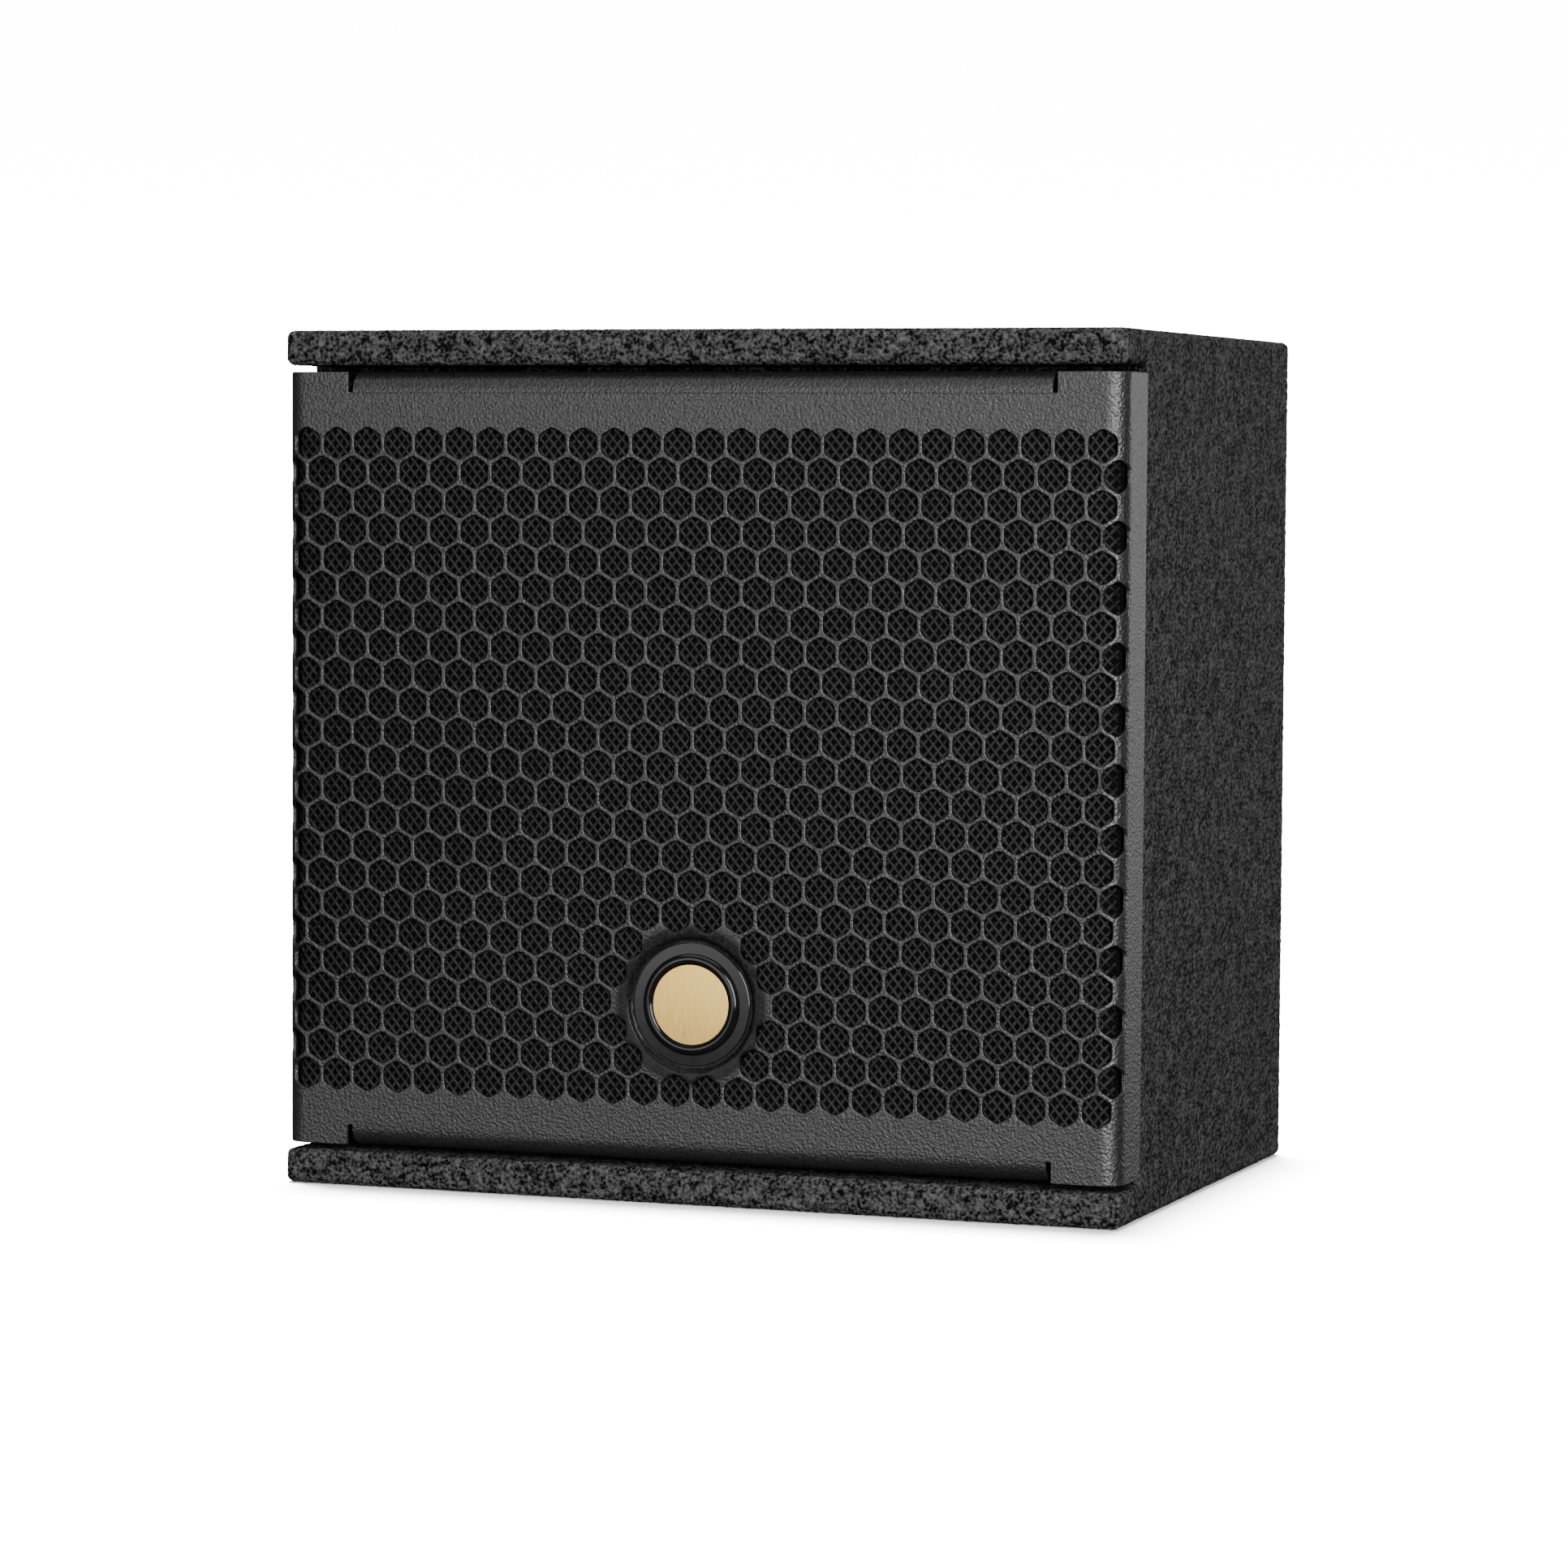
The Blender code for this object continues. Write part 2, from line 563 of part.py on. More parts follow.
def make_crossover():
    """The passive crossover on the bottom panel."""
    low_y, high_y = BOARD_Y
    block("crossover_board", (-BOARD_X, low_y, BOARD_LOW), (BOARD_X, high_y, BOARD_HIGH), BOARD_GREEN)
    standoff = [(0, 0), (4, 0), (4, STANDOFF / MM), (0, STANDOFF / MM)]
    middle = (low_y + high_y) / 2
    for number, (x, y) in four_ways(0.058, 0.038):
        where = (x, middle + y, PLY + GAP + STANDOFF)
        turned(f"board_standoff_{number}", standoff, where, FACING_UP, PLASTIC, SCREW_SIDES)
    for name, x, y, outer, inner, tall in (
        ("woofer_inductor", -0.034, 0.036, 24, 10, 22),
        ("treble_inductor", 0.038, 0.078, 13, 5, 18),
    ):
        winding = [(outer, 0), (outer, tall), (inner, tall), (inner, 0)]
        turned(name, winding, (x, y, ON_BOARD + tall * MM), FACING_UP, COPPER, COARSE)
    for name, y in (("woofer_capacitor", 0.022), ("treble_capacitor", 0.046)):
        can = [(0, -20), (9, -20), (10, -19), (10, 19), (9, 20), (0, 20)]
        turned(name, can, (0.034, y, ON_BOARD + 10 * MM), FACING_SIDE, FILM, COARSE)
    low = (-0.052, 0.074, ON_BOARD)
    block("treble_resistor", low, (-0.012, 0.084, ON_BOARD + 0.010), CERAMIC)


def smooth_route(points):
    """Points on a smooth curve through a route's own points (Catmull-Rom)."""
    spots = [Vector(point) for point in points]
    spots = [2 * spots[0] - spots[1]] + spots + [2 * spots[-1] - spots[-2]]
    route = []
    for index in range(1, len(spots) - 2):
        a, b, c, d = spots[index - 1 : index + 3]
        for step in range(WIRE_STEPS):
            t = step / WIRE_STEPS
            bend = (2 * a - 5 * b + 4 * c - d) * t**2 + (3 * b - a - 3 * c + d) * t**3
            route.append((2 * b + (c - a) * t + bend) / 2)
    return route + [spots[-2]]


def wire(name, points, mat):
    """A round twin lead along a route."""
    curve = bpy.data.curves.new(name, "CURVE")
    curve.dimensions = "3D"
    curve.bevel_depth = WIRE_R
    curve.bevel_resolution = 2
    curve.use_fill_caps = True
    route = smooth_route(points)
    spline = curve.splines.new("POLY")
    spline.points.add(len(route) - 1)
    for spot, point in zip(spline.points, route):
        spot.co = (*point, 1)
    curve.materials.append(mat)
    made = bpy.data.objects.new(name, curve)
    cabinet.objects.link(made)


def straight_end(end, out, length):
    """The first three points of a route that leaves its end squarely."""
    end = Vector(end)
    return [end + Vector(out) * length * share for share in (0, 0.4, 1)]


def make_wires():
    """Leads from the input socket to the crossover, and on to the woofer and the treble unit."""
    up, down, ahead = (0, 0, 1), (0, 0, -1), (0, -1, 0)
    tab_y = BACK_REAR + GAP + PLATE_THICK + GAP + SOCKET_FLANGE_THICK - 0.034 - GAP
    leaving = straight_end((-0.034, tab_y, PLATE_Z + 0.006), ahead, 0.010)
    landing = straight_end((-0.058, 0.070, ON_BOARD), up, 0.012)
    wire("input_lead", leaving + [(-0.048, 0.070, 0.070)] + landing[::-1], RUBBER)
    leaving = straight_end((-0.004, 0.012, ON_BOARD), up, 0.010)
    lug = straight_end((0, BAFFLE_FRONT + 0.024, AXIS_Z - 0.111 - GAP), down, 0.009)
    wire("woofer_lead", leaving + [(-0.004, -0.026, 0.050)] + lug[::-1], RUBBER)
    leaving = straight_end((0.008, 0.088, ON_BOARD), up, 0.012)
    cover = straight_end((0, BAFFLE_FRONT + 0.131, AXIS_Z - 0.045 - GAP), down, 0.012)
    wire("treble_lead", leaving + [(0.006, 0.062, 0.085)] + cover[::-1], RUBBER)


def make_damping():
    """Wool pads that line the top and the back."""
    top_low = (-0.150, -0.050, INNER_HIGH - 0.0205)
    block("damping_top", top_low, (0.150, 0.080, INNER_HIGH - GAP), WOOL, all_edges)
    back_face = BACK_REAR - PLY - GAP
    low = (-0.150, back_face - 0.018, 0.160)
    block("damping_back", low, (0.150, back_face, 0.320), WOOL, all_edges)


make_panels()
make_baffle()
make_brace()
make_grille()
make_grille_foam()
make_badge()
make_grille_magnets()
make_basket()
make_driver_rim()
make_surround()
make_cone()
make_voice_coil()
make_spider()
make_motor()
make_treble_unit()
make_ports()
make_connector_plate()
make_crossover()
make_wires()
make_damping()
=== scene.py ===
"""The looks of a compact PA speaker cabinet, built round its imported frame.

Metres, in the frame's own axes: the grille faces -Y and the cabinet stands on Z = 0. Outlines of
turned pieces are (radius, depth) pairs in millimetres, where depth grows away from the shown face.
"""

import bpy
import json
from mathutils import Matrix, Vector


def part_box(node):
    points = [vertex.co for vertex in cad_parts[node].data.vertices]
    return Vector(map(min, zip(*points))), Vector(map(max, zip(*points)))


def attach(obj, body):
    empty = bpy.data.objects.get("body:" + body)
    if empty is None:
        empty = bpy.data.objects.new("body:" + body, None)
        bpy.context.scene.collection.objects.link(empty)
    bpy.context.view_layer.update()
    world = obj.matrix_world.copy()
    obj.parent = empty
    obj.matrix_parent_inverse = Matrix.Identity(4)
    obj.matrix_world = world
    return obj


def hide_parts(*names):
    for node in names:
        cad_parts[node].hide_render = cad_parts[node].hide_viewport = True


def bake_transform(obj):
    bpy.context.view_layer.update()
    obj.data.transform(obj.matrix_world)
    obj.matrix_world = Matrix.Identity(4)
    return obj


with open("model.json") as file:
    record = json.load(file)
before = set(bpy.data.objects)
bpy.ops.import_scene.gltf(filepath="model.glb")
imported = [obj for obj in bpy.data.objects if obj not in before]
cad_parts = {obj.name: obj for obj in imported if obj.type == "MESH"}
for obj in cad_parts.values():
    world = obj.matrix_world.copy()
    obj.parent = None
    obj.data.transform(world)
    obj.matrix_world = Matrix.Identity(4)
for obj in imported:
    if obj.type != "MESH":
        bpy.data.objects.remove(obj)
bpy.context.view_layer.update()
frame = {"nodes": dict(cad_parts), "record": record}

import json
import math

import bpy
import numpy as np
from mathutils import Matrix, Vector, noise
from mathutils.geometry import delaunay_2d_cdt

MM = 0.001
CABINET = "cabinet"
CONE = "cone_assembly"
GRILLE = "grille_assembly"

# Places read from the frame
TOP_LOW, TOP_HIGH = (np.array(corner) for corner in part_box("top_panel"))
BOTTOM_LOW, BOTTOM_HIGH = (np.array(corner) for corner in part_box("bottom_panel"))
RIGHT_LOW, RIGHT_HIGH = (np.array(corner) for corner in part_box("right_panel"))
BACK_LOW, BACK_HIGH = (np.array(corner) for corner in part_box("back_panel"))
BAFFLE_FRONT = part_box("baffle")[0][1]
GRILLE_LOW, GRILLE_HIGH = (np.array(corner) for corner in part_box("grille"))
FOAM_LOW, FOAM_HIGH = (np.array(corner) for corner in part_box("grille_foam"))
RIM_LOW, RIM_HIGH = (np.array(corner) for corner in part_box("badge_rim"))
GRILLE_FRONT = GRILLE_LOW[1]
BADGE_Z = (RIM_LOW[2] + RIM_HIGH[2]) / 2
AXIS_Z = sum(corner[2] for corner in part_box("driver_basket")) / 2

# Coat
EDGE_RADIUS = 3.4 * MM
LUMP_DEPTH = 0.7 * MM
LUMP_SIZE = 2.6 * MM
LUMP_SEED = 1
FRONT_LUMP_SIZE = 3.8 * MM
FRONT_STRIP = TOP_LOW[1] + 16 * MM  # the coat is modelled finer in front of this
STRIP_OVERLAP = 0.6 * MM
STRIP_STEP = 0.75 * MM  # widest gap between points, here and below
PANEL_STEP = 1.5 * MM
EDGE_STEP = 1.1 * MM
SIDE_STEP = 1.35 * MM
INSIDE_STEP = 2.4 * MM
BACK_STEP = 1.7 * MM
BACK_HOLE_MARGIN = 12 * MM  # from the connector plate's edge to its cut-out

# Grille sheet
SHEET = 1.5 * MM
SIDE_BEND = 8.5 * MM
LIP_BEND = 8 * MM
LIP_STRAIGHT = 4 * MM
NOTCH_X = 154 * MM
NOTCH_HALF = 1 * MM
NOTCH_DEPTH = 8.5 * MM
PITCH = 13.93 * MM
ROW = PITCH * math.sqrt(3) / 2
ROWS = 23
HOLE_HALF = 6.1 * MM  # half the width across the flats
HOLE_CORNER = 2.9 * MM
CORNER_REACH = (HOLE_HALF - HOLE_CORNER) / math.cos(math.pi / 6)
CORNER_STEPS = 3
RIM_EASE = 0.42 * MM
PAD_REACH = 2.4 * PITCH  # no hole's middle is nearer to the badge's middle than this
DISH = (26.4 * MM, 28.5 * MM, 1.8 * MM)  # floor radius, brim radius, depth
BEND_STEPS = 9
BEND_EDGE = 0.06  # share of a bend's length that a row of points lies outside it, to keep the faces flat

# Net over the foam
FOAM_FLAT = 176 * MM  # half the width of the foam's flat front
FOAM_HOLE = 30.5 * MM  # radius of its opening behind the badge's pad
CELL_X = 4.05 * MM
CELL_Z = 5.0 * MM
STRAND_R = 0.62 * MM
STEPS_PER_CELL = 8  # how finely a strand is cut off at an edge
FOAM_SKIN = 1.3 * MM  # room for the net in front of the foam
NET_LEVELS = {-1: 0.50 * MM, 1: 0.58 * MM}  # depth of the strands that lean each way
STRAND_SIDES = 6

# Distances from the badge's middle where the grille's grain starts, and where it is full
PAD_PAINT = (32 * MM, 36 * MM)

# Driver
DRIVER_PLACE = (0, BAFFLE_FRONT, AXIS_Z)
SURROUND_SECTORS = 16

# Stage
SWEEP_FLAT = 2000  # radii of the paper's flat middle and of its rise, in millimetres
SWEEP_RISE = 8000
PAPER_GLOW = 0.25
WORLD_STRENGTH = 0.08
LIGHTS = (  # name, place, target, size, power
    ("key", (1.65, -2.5, 0.75), (0, -0.1, 0.2), (1.4, 1.9), 190),
    ("front", (-0.75, -3.1, 0.35), (0, -0.1, 0.2), (2.0, 1.2), 42),
    ("rim", (1.75, 2.6, 0.45), (0.18, 0, 0.2), (1.5, 1.3), 20),
)
SUNS = (  # name, strength, width in degrees, where it shines from, whether it lights only the paper
    ("overhead", 2.0, 60, (-0.2, -0.3, 3.0), False),
    ("paper_wash", 4.0, 36, (-0.75, 0.45, 2.9), True),
    ("paper_contact", 60.0, 6.5, (-0.12, 0.20, 2.9), True),
)
LENS = 118.25
CAMERA_PLACE = (0.7656, -2.0858, 0.3030)
CAMERA_TURN = (86.50, -0.34, 20.32)  # in degrees

FACING_FRONT = Matrix.Rotation(math.pi / 2, 4, "X")
FACING_BACK = Matrix.Rotation(-math.pi / 2, 4, "X")
ROUND_STEPS = 128
SHARP_ANGLE = 30  # in degrees; faces that meet at less are shaded smooth


# ---- Materials


def node(mat, kind, inputs=None, **settings):
    """A shader node. An input is a value, or another node's output."""
    made = mat.node_tree.nodes.new(kind)
    for key, value in settings.items():
        setattr(made, key, value)
    for key, value in (inputs or {}).items():
        if isinstance(value, bpy.types.NodeSocket):
            mat.node_tree.links.new(value, made.inputs[key])
        else:
            made.inputs[key].default_value = value
    return made


def blank(name):
    """A material with only its output node, and that node's surface input."""
    mat = bpy.data.materials.new(name)
    mat.use_nodes = True
    mat.node_tree.nodes.clear()
    return mat, node(mat, "ShaderNodeOutputMaterial").inputs["Surface"]


def places(mat, stretch=(1, 1, 1)):
    """The point on the object, stretched along its axes."""
    coords = node(mat, "ShaderNodeTexCoord")
    inputs = {"Vector": coords.outputs["Object"], "Scale": stretch}
    return node(mat, "ShaderNodeMapping", inputs).outputs["Vector"]


def grain(mat, size, detail, stretch=(1, 1, 1)):
    """Soft noise whose features are about this size, in metres."""
    inputs = {"Vector": places(mat, stretch), "Scale": 1 / size, "Detail": detail}
    return node(mat, "ShaderNodeTexNoise", inputs).outputs["Fac"]


def cells(mat, size):
    """Distances in a cell pattern of about this size."""
    inputs = {"Vector": places(mat), "Scale": 1 / size}
    return node(mat, "ShaderNodeTexVoronoi", inputs).outputs["Distance"]


def threads(mat, size, direction):
    """Evenly spaced rounded threads across one direction."""
    inputs = {"Vector": places(mat), "Scale": 1 / (size * 6.28), "Distortion": 0.0}  # one turn is 2 pi
    settings = {"wave_type": "BANDS", "bands_direction": direction, "wave_profile": "SIN"}
    return node(mat, "ShaderNodeTexWave", inputs, **settings).outputs["Fac"]


def ramp(mat, factor, low, high, start=0.3, end=0.7):
    """A value or colour that runs from low to high as the factor passes from start to end."""
    inputs = {"Value": factor, "From Min": start, "From Max": end}
    share = node(mat, "ShaderNodeMapRange", inputs).outputs["Result"]
    if isinstance(low, tuple):
        mixed = node(mat, "ShaderNodeMix", {"Factor": share}, data_type="RGBA")
        mixed.inputs[6].default_value = (*low, 1)
        mixed.inputs[7].default_value = (*high, 1)
        return mixed.outputs[2]
    inputs = {"Value": share, "To Min": low, "To Max": high}
    return node(mat, "ShaderNodeMapRange", inputs).outputs["Result"]


def bumps(mat, layers):
    """A normal from layers of (height, distance in metres, strength)."""
    normal = None
    for height, distance, strength in layers:
        inputs = {"Height": height, "Distance": distance, "Strength": strength}
        if normal is not None:
            inputs["Normal"] = normal
        normal = node(mat, "ShaderNodeBump", inputs).outputs["Normal"]
    return normal


def principled(mat, surface, colour, roughness, normal=None, **inputs):
    """The material, with its Principled shader. An input's name has _ for each space."""
    given = {"Base Color": colour, "Roughness": roughness}
    if normal is not None:
        given["Normal"] = normal
    given.update({key.replace("_", " "): value for key, value in inputs.items()})
    shader = node(mat, "ShaderNodeBsdfPrincipled", given)
    mat.node_tree.links.new(shader.outputs["BSDF"], surface)
    return mat


def plain(name, dark, light, rough, size, bump, **inputs):
    """A finish whose colour and relief vary with one grain, and whose gloss varies more slowly."""
    mat, surface = blank(name)
    speckle = grain(mat, size, 3.0)
    cloud = grain(mat, size * 12, 2.0)
    colour = ramp(mat, speckle, dark, light)
    roughness = ramp(mat, cloud, rough * 0.88, min(1.0, rough * 1.12))
    normal = bumps(mat, [(speckle, bump, 0.5)])
    return principled(mat, surface, colour, roughness, normal, **inputs)


def coat_finish():
    """Coarse polyurea coat, with painted shade and highlight: its colour follows the height of its lumps
    and relief, near black in its creases and a little lighter on the crowns of its lumps; a slow cloud
    adds random tone.
    """
    mat, surface = blank("textured_coat")
    crown = node(mat, "ShaderNodeAttribute", attribute_name="crown").outputs["Fac"]
    fine = grain(mat, 0.5 * MM, 3.0)
    patch = grain(mat, 1.4 * MM, 1.5, (1, 0.55, 1))
    speck = ramp(mat, patch, 0.0, 0.85, 0.38, 0.62)
    cloud = ramp(mat, grain(mat, 7 * MM, 2.0), -0.15, 0.25, 0.35, 0.65)
    # Painted shade and highlight: the lumps' crowns and the raised relief make the colour lighter, and
    # the creases make it near black. The cloud is random tone.
    inputs = {0: crown, 1: 1.05, 2: speck}
    height = node(mat, "ShaderNodeMath", inputs, operation="MULTIPLY_ADD").outputs[0]
    inputs = {0: height, 1: cloud}
    height = node(mat, "ShaderNodeMath", inputs, operation="ADD").outputs[0]
    colour = ramp(mat, height, (0.0015, 0.0015, 0.0015), (0.085, 0.085, 0.086), 0.45, 1.85)
    roughness = ramp(mat, fine, 0.5, 0.8)
    normal = bumps(mat, [(patch, 1.6 * MM, 1.0), (fine, 0.3 * MM, 0.7)])
    return principled(mat, surface, colour, roughness, normal, Specular_IOR_Level=0.04)


def paint_finish():
    """Leathery satin powder coat on the grille, smooth and darker round the badge."""
    mat, surface = blank("grille_paint")
    fine = grain(mat, 1.2 * MM, 2.0)
    inputs = {0: places(mat), 1: (0, GRILLE_FRONT, BADGE_Z)}
    away = node(mat, "ShaderNodeVectorMath", inputs, operation="DISTANCE").outputs["Value"]
    sheet = ramp(mat, away, 0.0, 1.0, *PAD_PAINT)
    colour = ramp(mat, fine, (0.003, 0.003, 0.003), (0.012, 0.012, 0.012))
    roughness = ramp(mat, sheet, 0.22, 0.42, 0.0, 1.0)
    gloss = ramp(mat, sheet, 0.08, 0.68, 0.0, 1.0)
    relief = ramp(mat, sheet, 0.1, 1.0, 0.0, 1.0)
    normal = bumps(mat, [(fine, 0.5 * MM, relief)])
    return principled(mat, surface, colour, roughness, normal, Specular_IOR_Level=gloss)


def foam_finish():
    """Open-cell foam, with painted shade that makes it black in its pores."""
    mat, surface = blank("foam")
    pores = cells(mat, 0.9 * MM)
    colour = ramp(mat, pores, (0.006, 0.006, 0.006), (0.001, 0.001, 0.001), 0.1, 0.6)
    normal = bumps(mat, [(pores, 0.6 * MM, 0.8)])
    return principled(mat, surface, colour, 0.95, normal, Specular_IOR_Level=0.05)


def net_finish():
    """Black polyester strands with a slight shine on each filament, and painted highlights: lighter
    patches of colour in random places that stand in for the shine of the net's knots.
    """
    mat, surface = blank("net")
    fibre = grain(mat, 0.3 * MM, 2.0)
    # Painted highlight: random lighter patches in the colour, standing in for the shine on the net's
    # knots.
    painted_glints = grain(mat, 3.0 * MM, 1.0)
    colour = ramp(mat, painted_glints, (0.001, 0.001, 0.001), (0.016, 0.016, 0.016))
    normal = bumps(mat, [(fibre, 0.25 * MM, 1.0)])
    return principled(mat, surface, colour, 0.5, normal, Specular_IOR_Level=0.2)


def gold_finish():
    """Satin gold with a fine straight brush."""
    mat, surface = blank("badge_gold")
    brush = grain(mat, 0.25 * MM, 3.0, (1, 1, 0.02))
    colour = ramp(mat, brush, (0.50, 0.31, 0.07), (0.80, 0.53, 0.15))
    roughness = ramp(mat, brush, 0.30, 0.44)
    normal = bumps(mat, [(brush, 0.04 * MM, 0.3)])
    return principled(mat, surface, colour, roughness, normal, Metallic=0.7)


def plywood_finish():
    """Birch face veneer: long pale grain."""
    mat, surface = blank("birch_plywood")
    figure = grain(mat, 5 * MM, 4.0, (0.06, 1, 1))
    colour = ramp(mat, figure, (0.42, 0.28, 0.15), (0.66, 0.50, 0.31))
    return principled(mat, surface, colour, 0.6, bumps(mat, [(figure, 0.1 * MM, 0.4)]))


def woven_finish(name, dark, light, size):
    """A woven cloth of threads along X and Z, with painted shade and highlight: its colour is darker
    between the threads and lighter where their crests meet.
    """
    mat, surface = blank(name)
    across = threads(mat, size, "X")
    up = threads(mat, size, "Z")
    weave = node(mat, "ShaderNodeMath", {0: across, 1: up}, operation="MULTIPLY").outputs[0]
    colour = ramp(mat, weave, dark, light, 0.0, 1.0)
    return principled(mat, surface, colour, 0.9, bumps(mat, [(weave, 0.3 * MM, 0.7)]))


def wound_finish(name, dark, light, size, along, roughness, metallic):
    """Turns of wire laid side by side along one axis, with painted shade and highlight: each turn is
    lighter on its crest and darker in the grooves between turns.
    """
    mat, surface = blank(name)
    turns = threads(mat, size, along)
    colour = ramp(mat, turns, dark, light, 0.0, 1.0)
    normal = bumps(mat, [(turns, 0.3 * MM, 0.8)])
    return principled(mat, surface, colour, roughness, normal, Metallic=metallic)


def all_finishes():
    """Every finish, by the record's material slot."""
    made = {
        "textured_coat": coat_finish(),
        "grille_paint": paint_finish(),
        "foam": foam_finish(),
        "badge_gold": gold_finish(),
        "birch_plywood": plywood_finish(),
    }
    name = "spider_cloth"
    made[name] = woven_finish(name, (0.16, 0.10, 0.04), (0.42, 0.30, 0.14), 0.5 * MM)
    name = "copper_wire"
    made[name] = wound_finish(name, (0.20, 0.07, 0.03), (0.62, 0.27, 0.13), 1 * MM, "Z", 0.3, 1.0)
    name = "voice_coil"
    made[name] = wound_finish(name, (0.22, 0.11, 0.04), (0.48, 0.26, 0.09), 0.4 * MM, "Y", 0.4, 0.0)
    gloss = {"Specular_IOR_Level": 0.2}
    metal, half_metal, dull_metal = {"Metallic": 1.0}, {"Metallic": 0.4}, {"Metallic": 0.2}
    for name, dark, light, rough, size, bump, extra in (
        ("badge_black", (0.003,) * 3, (0.006,) * 3, 0.12, 4, 0.01, gloss),
        ("cast_metal", (0.018,) * 3, (0.040,) * 3, 0.45, 0.6, 0.1, half_metal),
        ("plated_steel", (0.42, 0.43, 0.45), (0.60, 0.61, 0.62), 0.3, 2, 0.02, metal),
        ("black_steel", (0.014,) * 3, (0.032,) * 3, 0.38, 0.5, 0.05, dull_metal),
        ("ferrite", (0.022,) * 3, (0.060,) * 3, 0.7, 1, 0.1, {}),
        ("cone_paper", (0.010,) * 3, (0.030,) * 3, 0.75, 1.2, 0.25, {}),
        ("rubber", (0.008,) * 3, (0.018,) * 3, 0.55, 0.8, 0.06, {}),
        ("black_plastic", (0.010,) * 3, (0.022,) * 3, 0.42, 0.4, 0.05, {}),
        ("circuit_board", (0.010, 0.07, 0.03), (0.025, 0.13, 0.06), 0.4, 3, 0.03, {}),
        ("capacitor_film", (0.45, 0.31, 0.06), (0.60, 0.44, 0.12), 0.35, 6, 0.02, {}),
        ("resistor_ceramic", (0.62, 0.60, 0.55), (0.80, 0.78, 0.72), 0.7, 0.5, 0.1, {}),
        ("damping_wool", (0.25, 0.25, 0.24), (0.55, 0.55, 0.52), 1.0, 1.5, 1, {}),
        ("diaphragm_metal", (0.40, 0.40, 0.42), (0.58, 0.58, 0.60), 0.35, 1, 0.02, metal),
    ):
        made[name] = plain(name, dark, light, rough, size * MM, bump * MM, **extra)
    return made


FINISHES = all_finishes()
NET = net_finish()
SLOT_OF = {row["node"]: row["material_slot"] for row in frame["record"]["subparts"]}
for name, cad_node in frame["nodes"].items():
    cad_node.data.materials.clear()
    cad_node.data.materials.append(FINISHES[SLOT_OF[name]])


# ---- Mesh tools


def mesh_object(name, points, faces, sharp=SHARP_ANGLE):
    """A mesh object, smooth except where its faces meet at more than this angle."""
    mesh = bpy.data.meshes.new(name)
    mesh.from_pydata(np.asarray(points).tolist(), [], [list(face) for face in faces])
    mesh.validate()
    mesh.shade_smooth()
    mesh.set_sharp_from_angle(angle=math.radians(sharp))
    made = bpy.data.objects.new(name, mesh)
    bpy.context.scene.collection.objects.link(made)
    return made


def settled(piece, sharp=SHARP_ANGLE):
    """The piece with its modifiers applied."""
    graph = bpy.context.evaluated_depsgraph_get()
    mesh = bpy.data.meshes.new_from_object(piece.evaluated_get(graph))
    piece.modifiers.clear()
    piece.data = mesh
    mesh.shade_smooth()
    mesh.set_sharp_from_angle(angle=math.radians(sharp))
    return piece


def merged(name, parts):
    """Several mesh objects as one piece; each is a closed body of its own."""
    points = []
    faces = []
    for part in parts:
        start = len(points)
        points += [part.matrix_world @ vert.co for vert in part.data.vertices]
        faces += [[start + index for index in face.vertices] for face in part.data.polygons]
        bpy.data.objects.remove(part)
    return mesh_object(name, [tuple(point) for point in points], faces)


def dress(piece, body, slot, *replaced, mat=None):
    """Gives a piece its finish and its body, and hides the CAD nodes that it stands for."""
    piece.data.materials.clear()
    piece.data.materials.append(mat or FINISHES[slot])
    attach(piece, body)
    if replaced:
        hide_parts(*replaced)
    return piece


def turned(name, outline, centre, facing, steps=ROUND_STEPS, start=0.0, sweep=360.0):
    """A turned piece from its (radius, depth) outline, whole or as a sector with capped ends."""
    outline = [(radius * MM, -depth * MM) for radius, depth in outline]
    ring = outline[0][0] > 0 and outline[-1][0] > 0
    whole = sweep >= 360
    columns = steps if whole else steps + 1
    angles = [math.radians(start + sweep * column / steps) for column in range(columns)]
    points = []
    index = {}
    for row, (radius, height) in enumerate(outline):
        for column, angle in enumerate(angles):
            if radius == 0 and column:
                index[row, column] = index[row, 0]
                continue
            index[row, column] = len(points)
            points.append((radius * math.cos(angle), radius * math.sin(angle), height))
    faces = []
    rows = len(outline)
    for row in range(rows if ring else rows - 1):
        below = (row + 1) % rows
        for column in range(columns if whole else columns - 1):
            beside = (column + 1) % columns
            face = [index[row, column], index[below, column], index[below, beside], index[row, beside]]
            face = list(dict.fromkeys(face))
            if len(face) > 2:
                faces.append(face)
    if not whole:
        faces.append([index[row, 0] for row in reversed(range(rows))])
        faces.append([index[row, columns - 1] for row in range(rows)])
    place = Matrix.Translation(centre) @ facing
    return mesh_object(name, [tuple(place @ Vector(point)) for point in points], faces)


def round_corner(centre, radius, start, end, steps):
    """Points on an arc, from one angle to another, in degrees."""
    angles = [math.radians(start + (end - start) * step / steps) for step in range(steps + 1)]
    return [(centre[0] + radius * math.cos(a), centre[1] + radius * math.sin(a)) for a in angles]


def round_rectangle(width, height, radius, steps=6):
    """An outline with rounded corners, about the origin."""
    outline = []
    for turn, (sx, sz) in enumerate(((1, 1), (-1, 1), (-1, -1), (1, -1))):
        corner = (sx * (width / 2 - radius), sz * (height / 2 - radius))
        outline += round_corner(corner, radius, turn * 90, turn * 90 + 90, steps)
    return outline


def circle(centre, radius, steps=64):
    """A round outline."""
    return round_corner(centre, radius, 0, 360 * (1 - 1 / steps), steps - 1)


def within(outline, point):
    """Whether a point is inside an outline."""
    inside = False
    x, y = point
    for (ax, ay), (bx, by) in zip(outline, outline[1:] + outline[:1]):
        if (ay > y) != (by > y) and x < (bx - ax) * (y - ay) / (by - ay) + ax:
            inside = not inside
    return inside


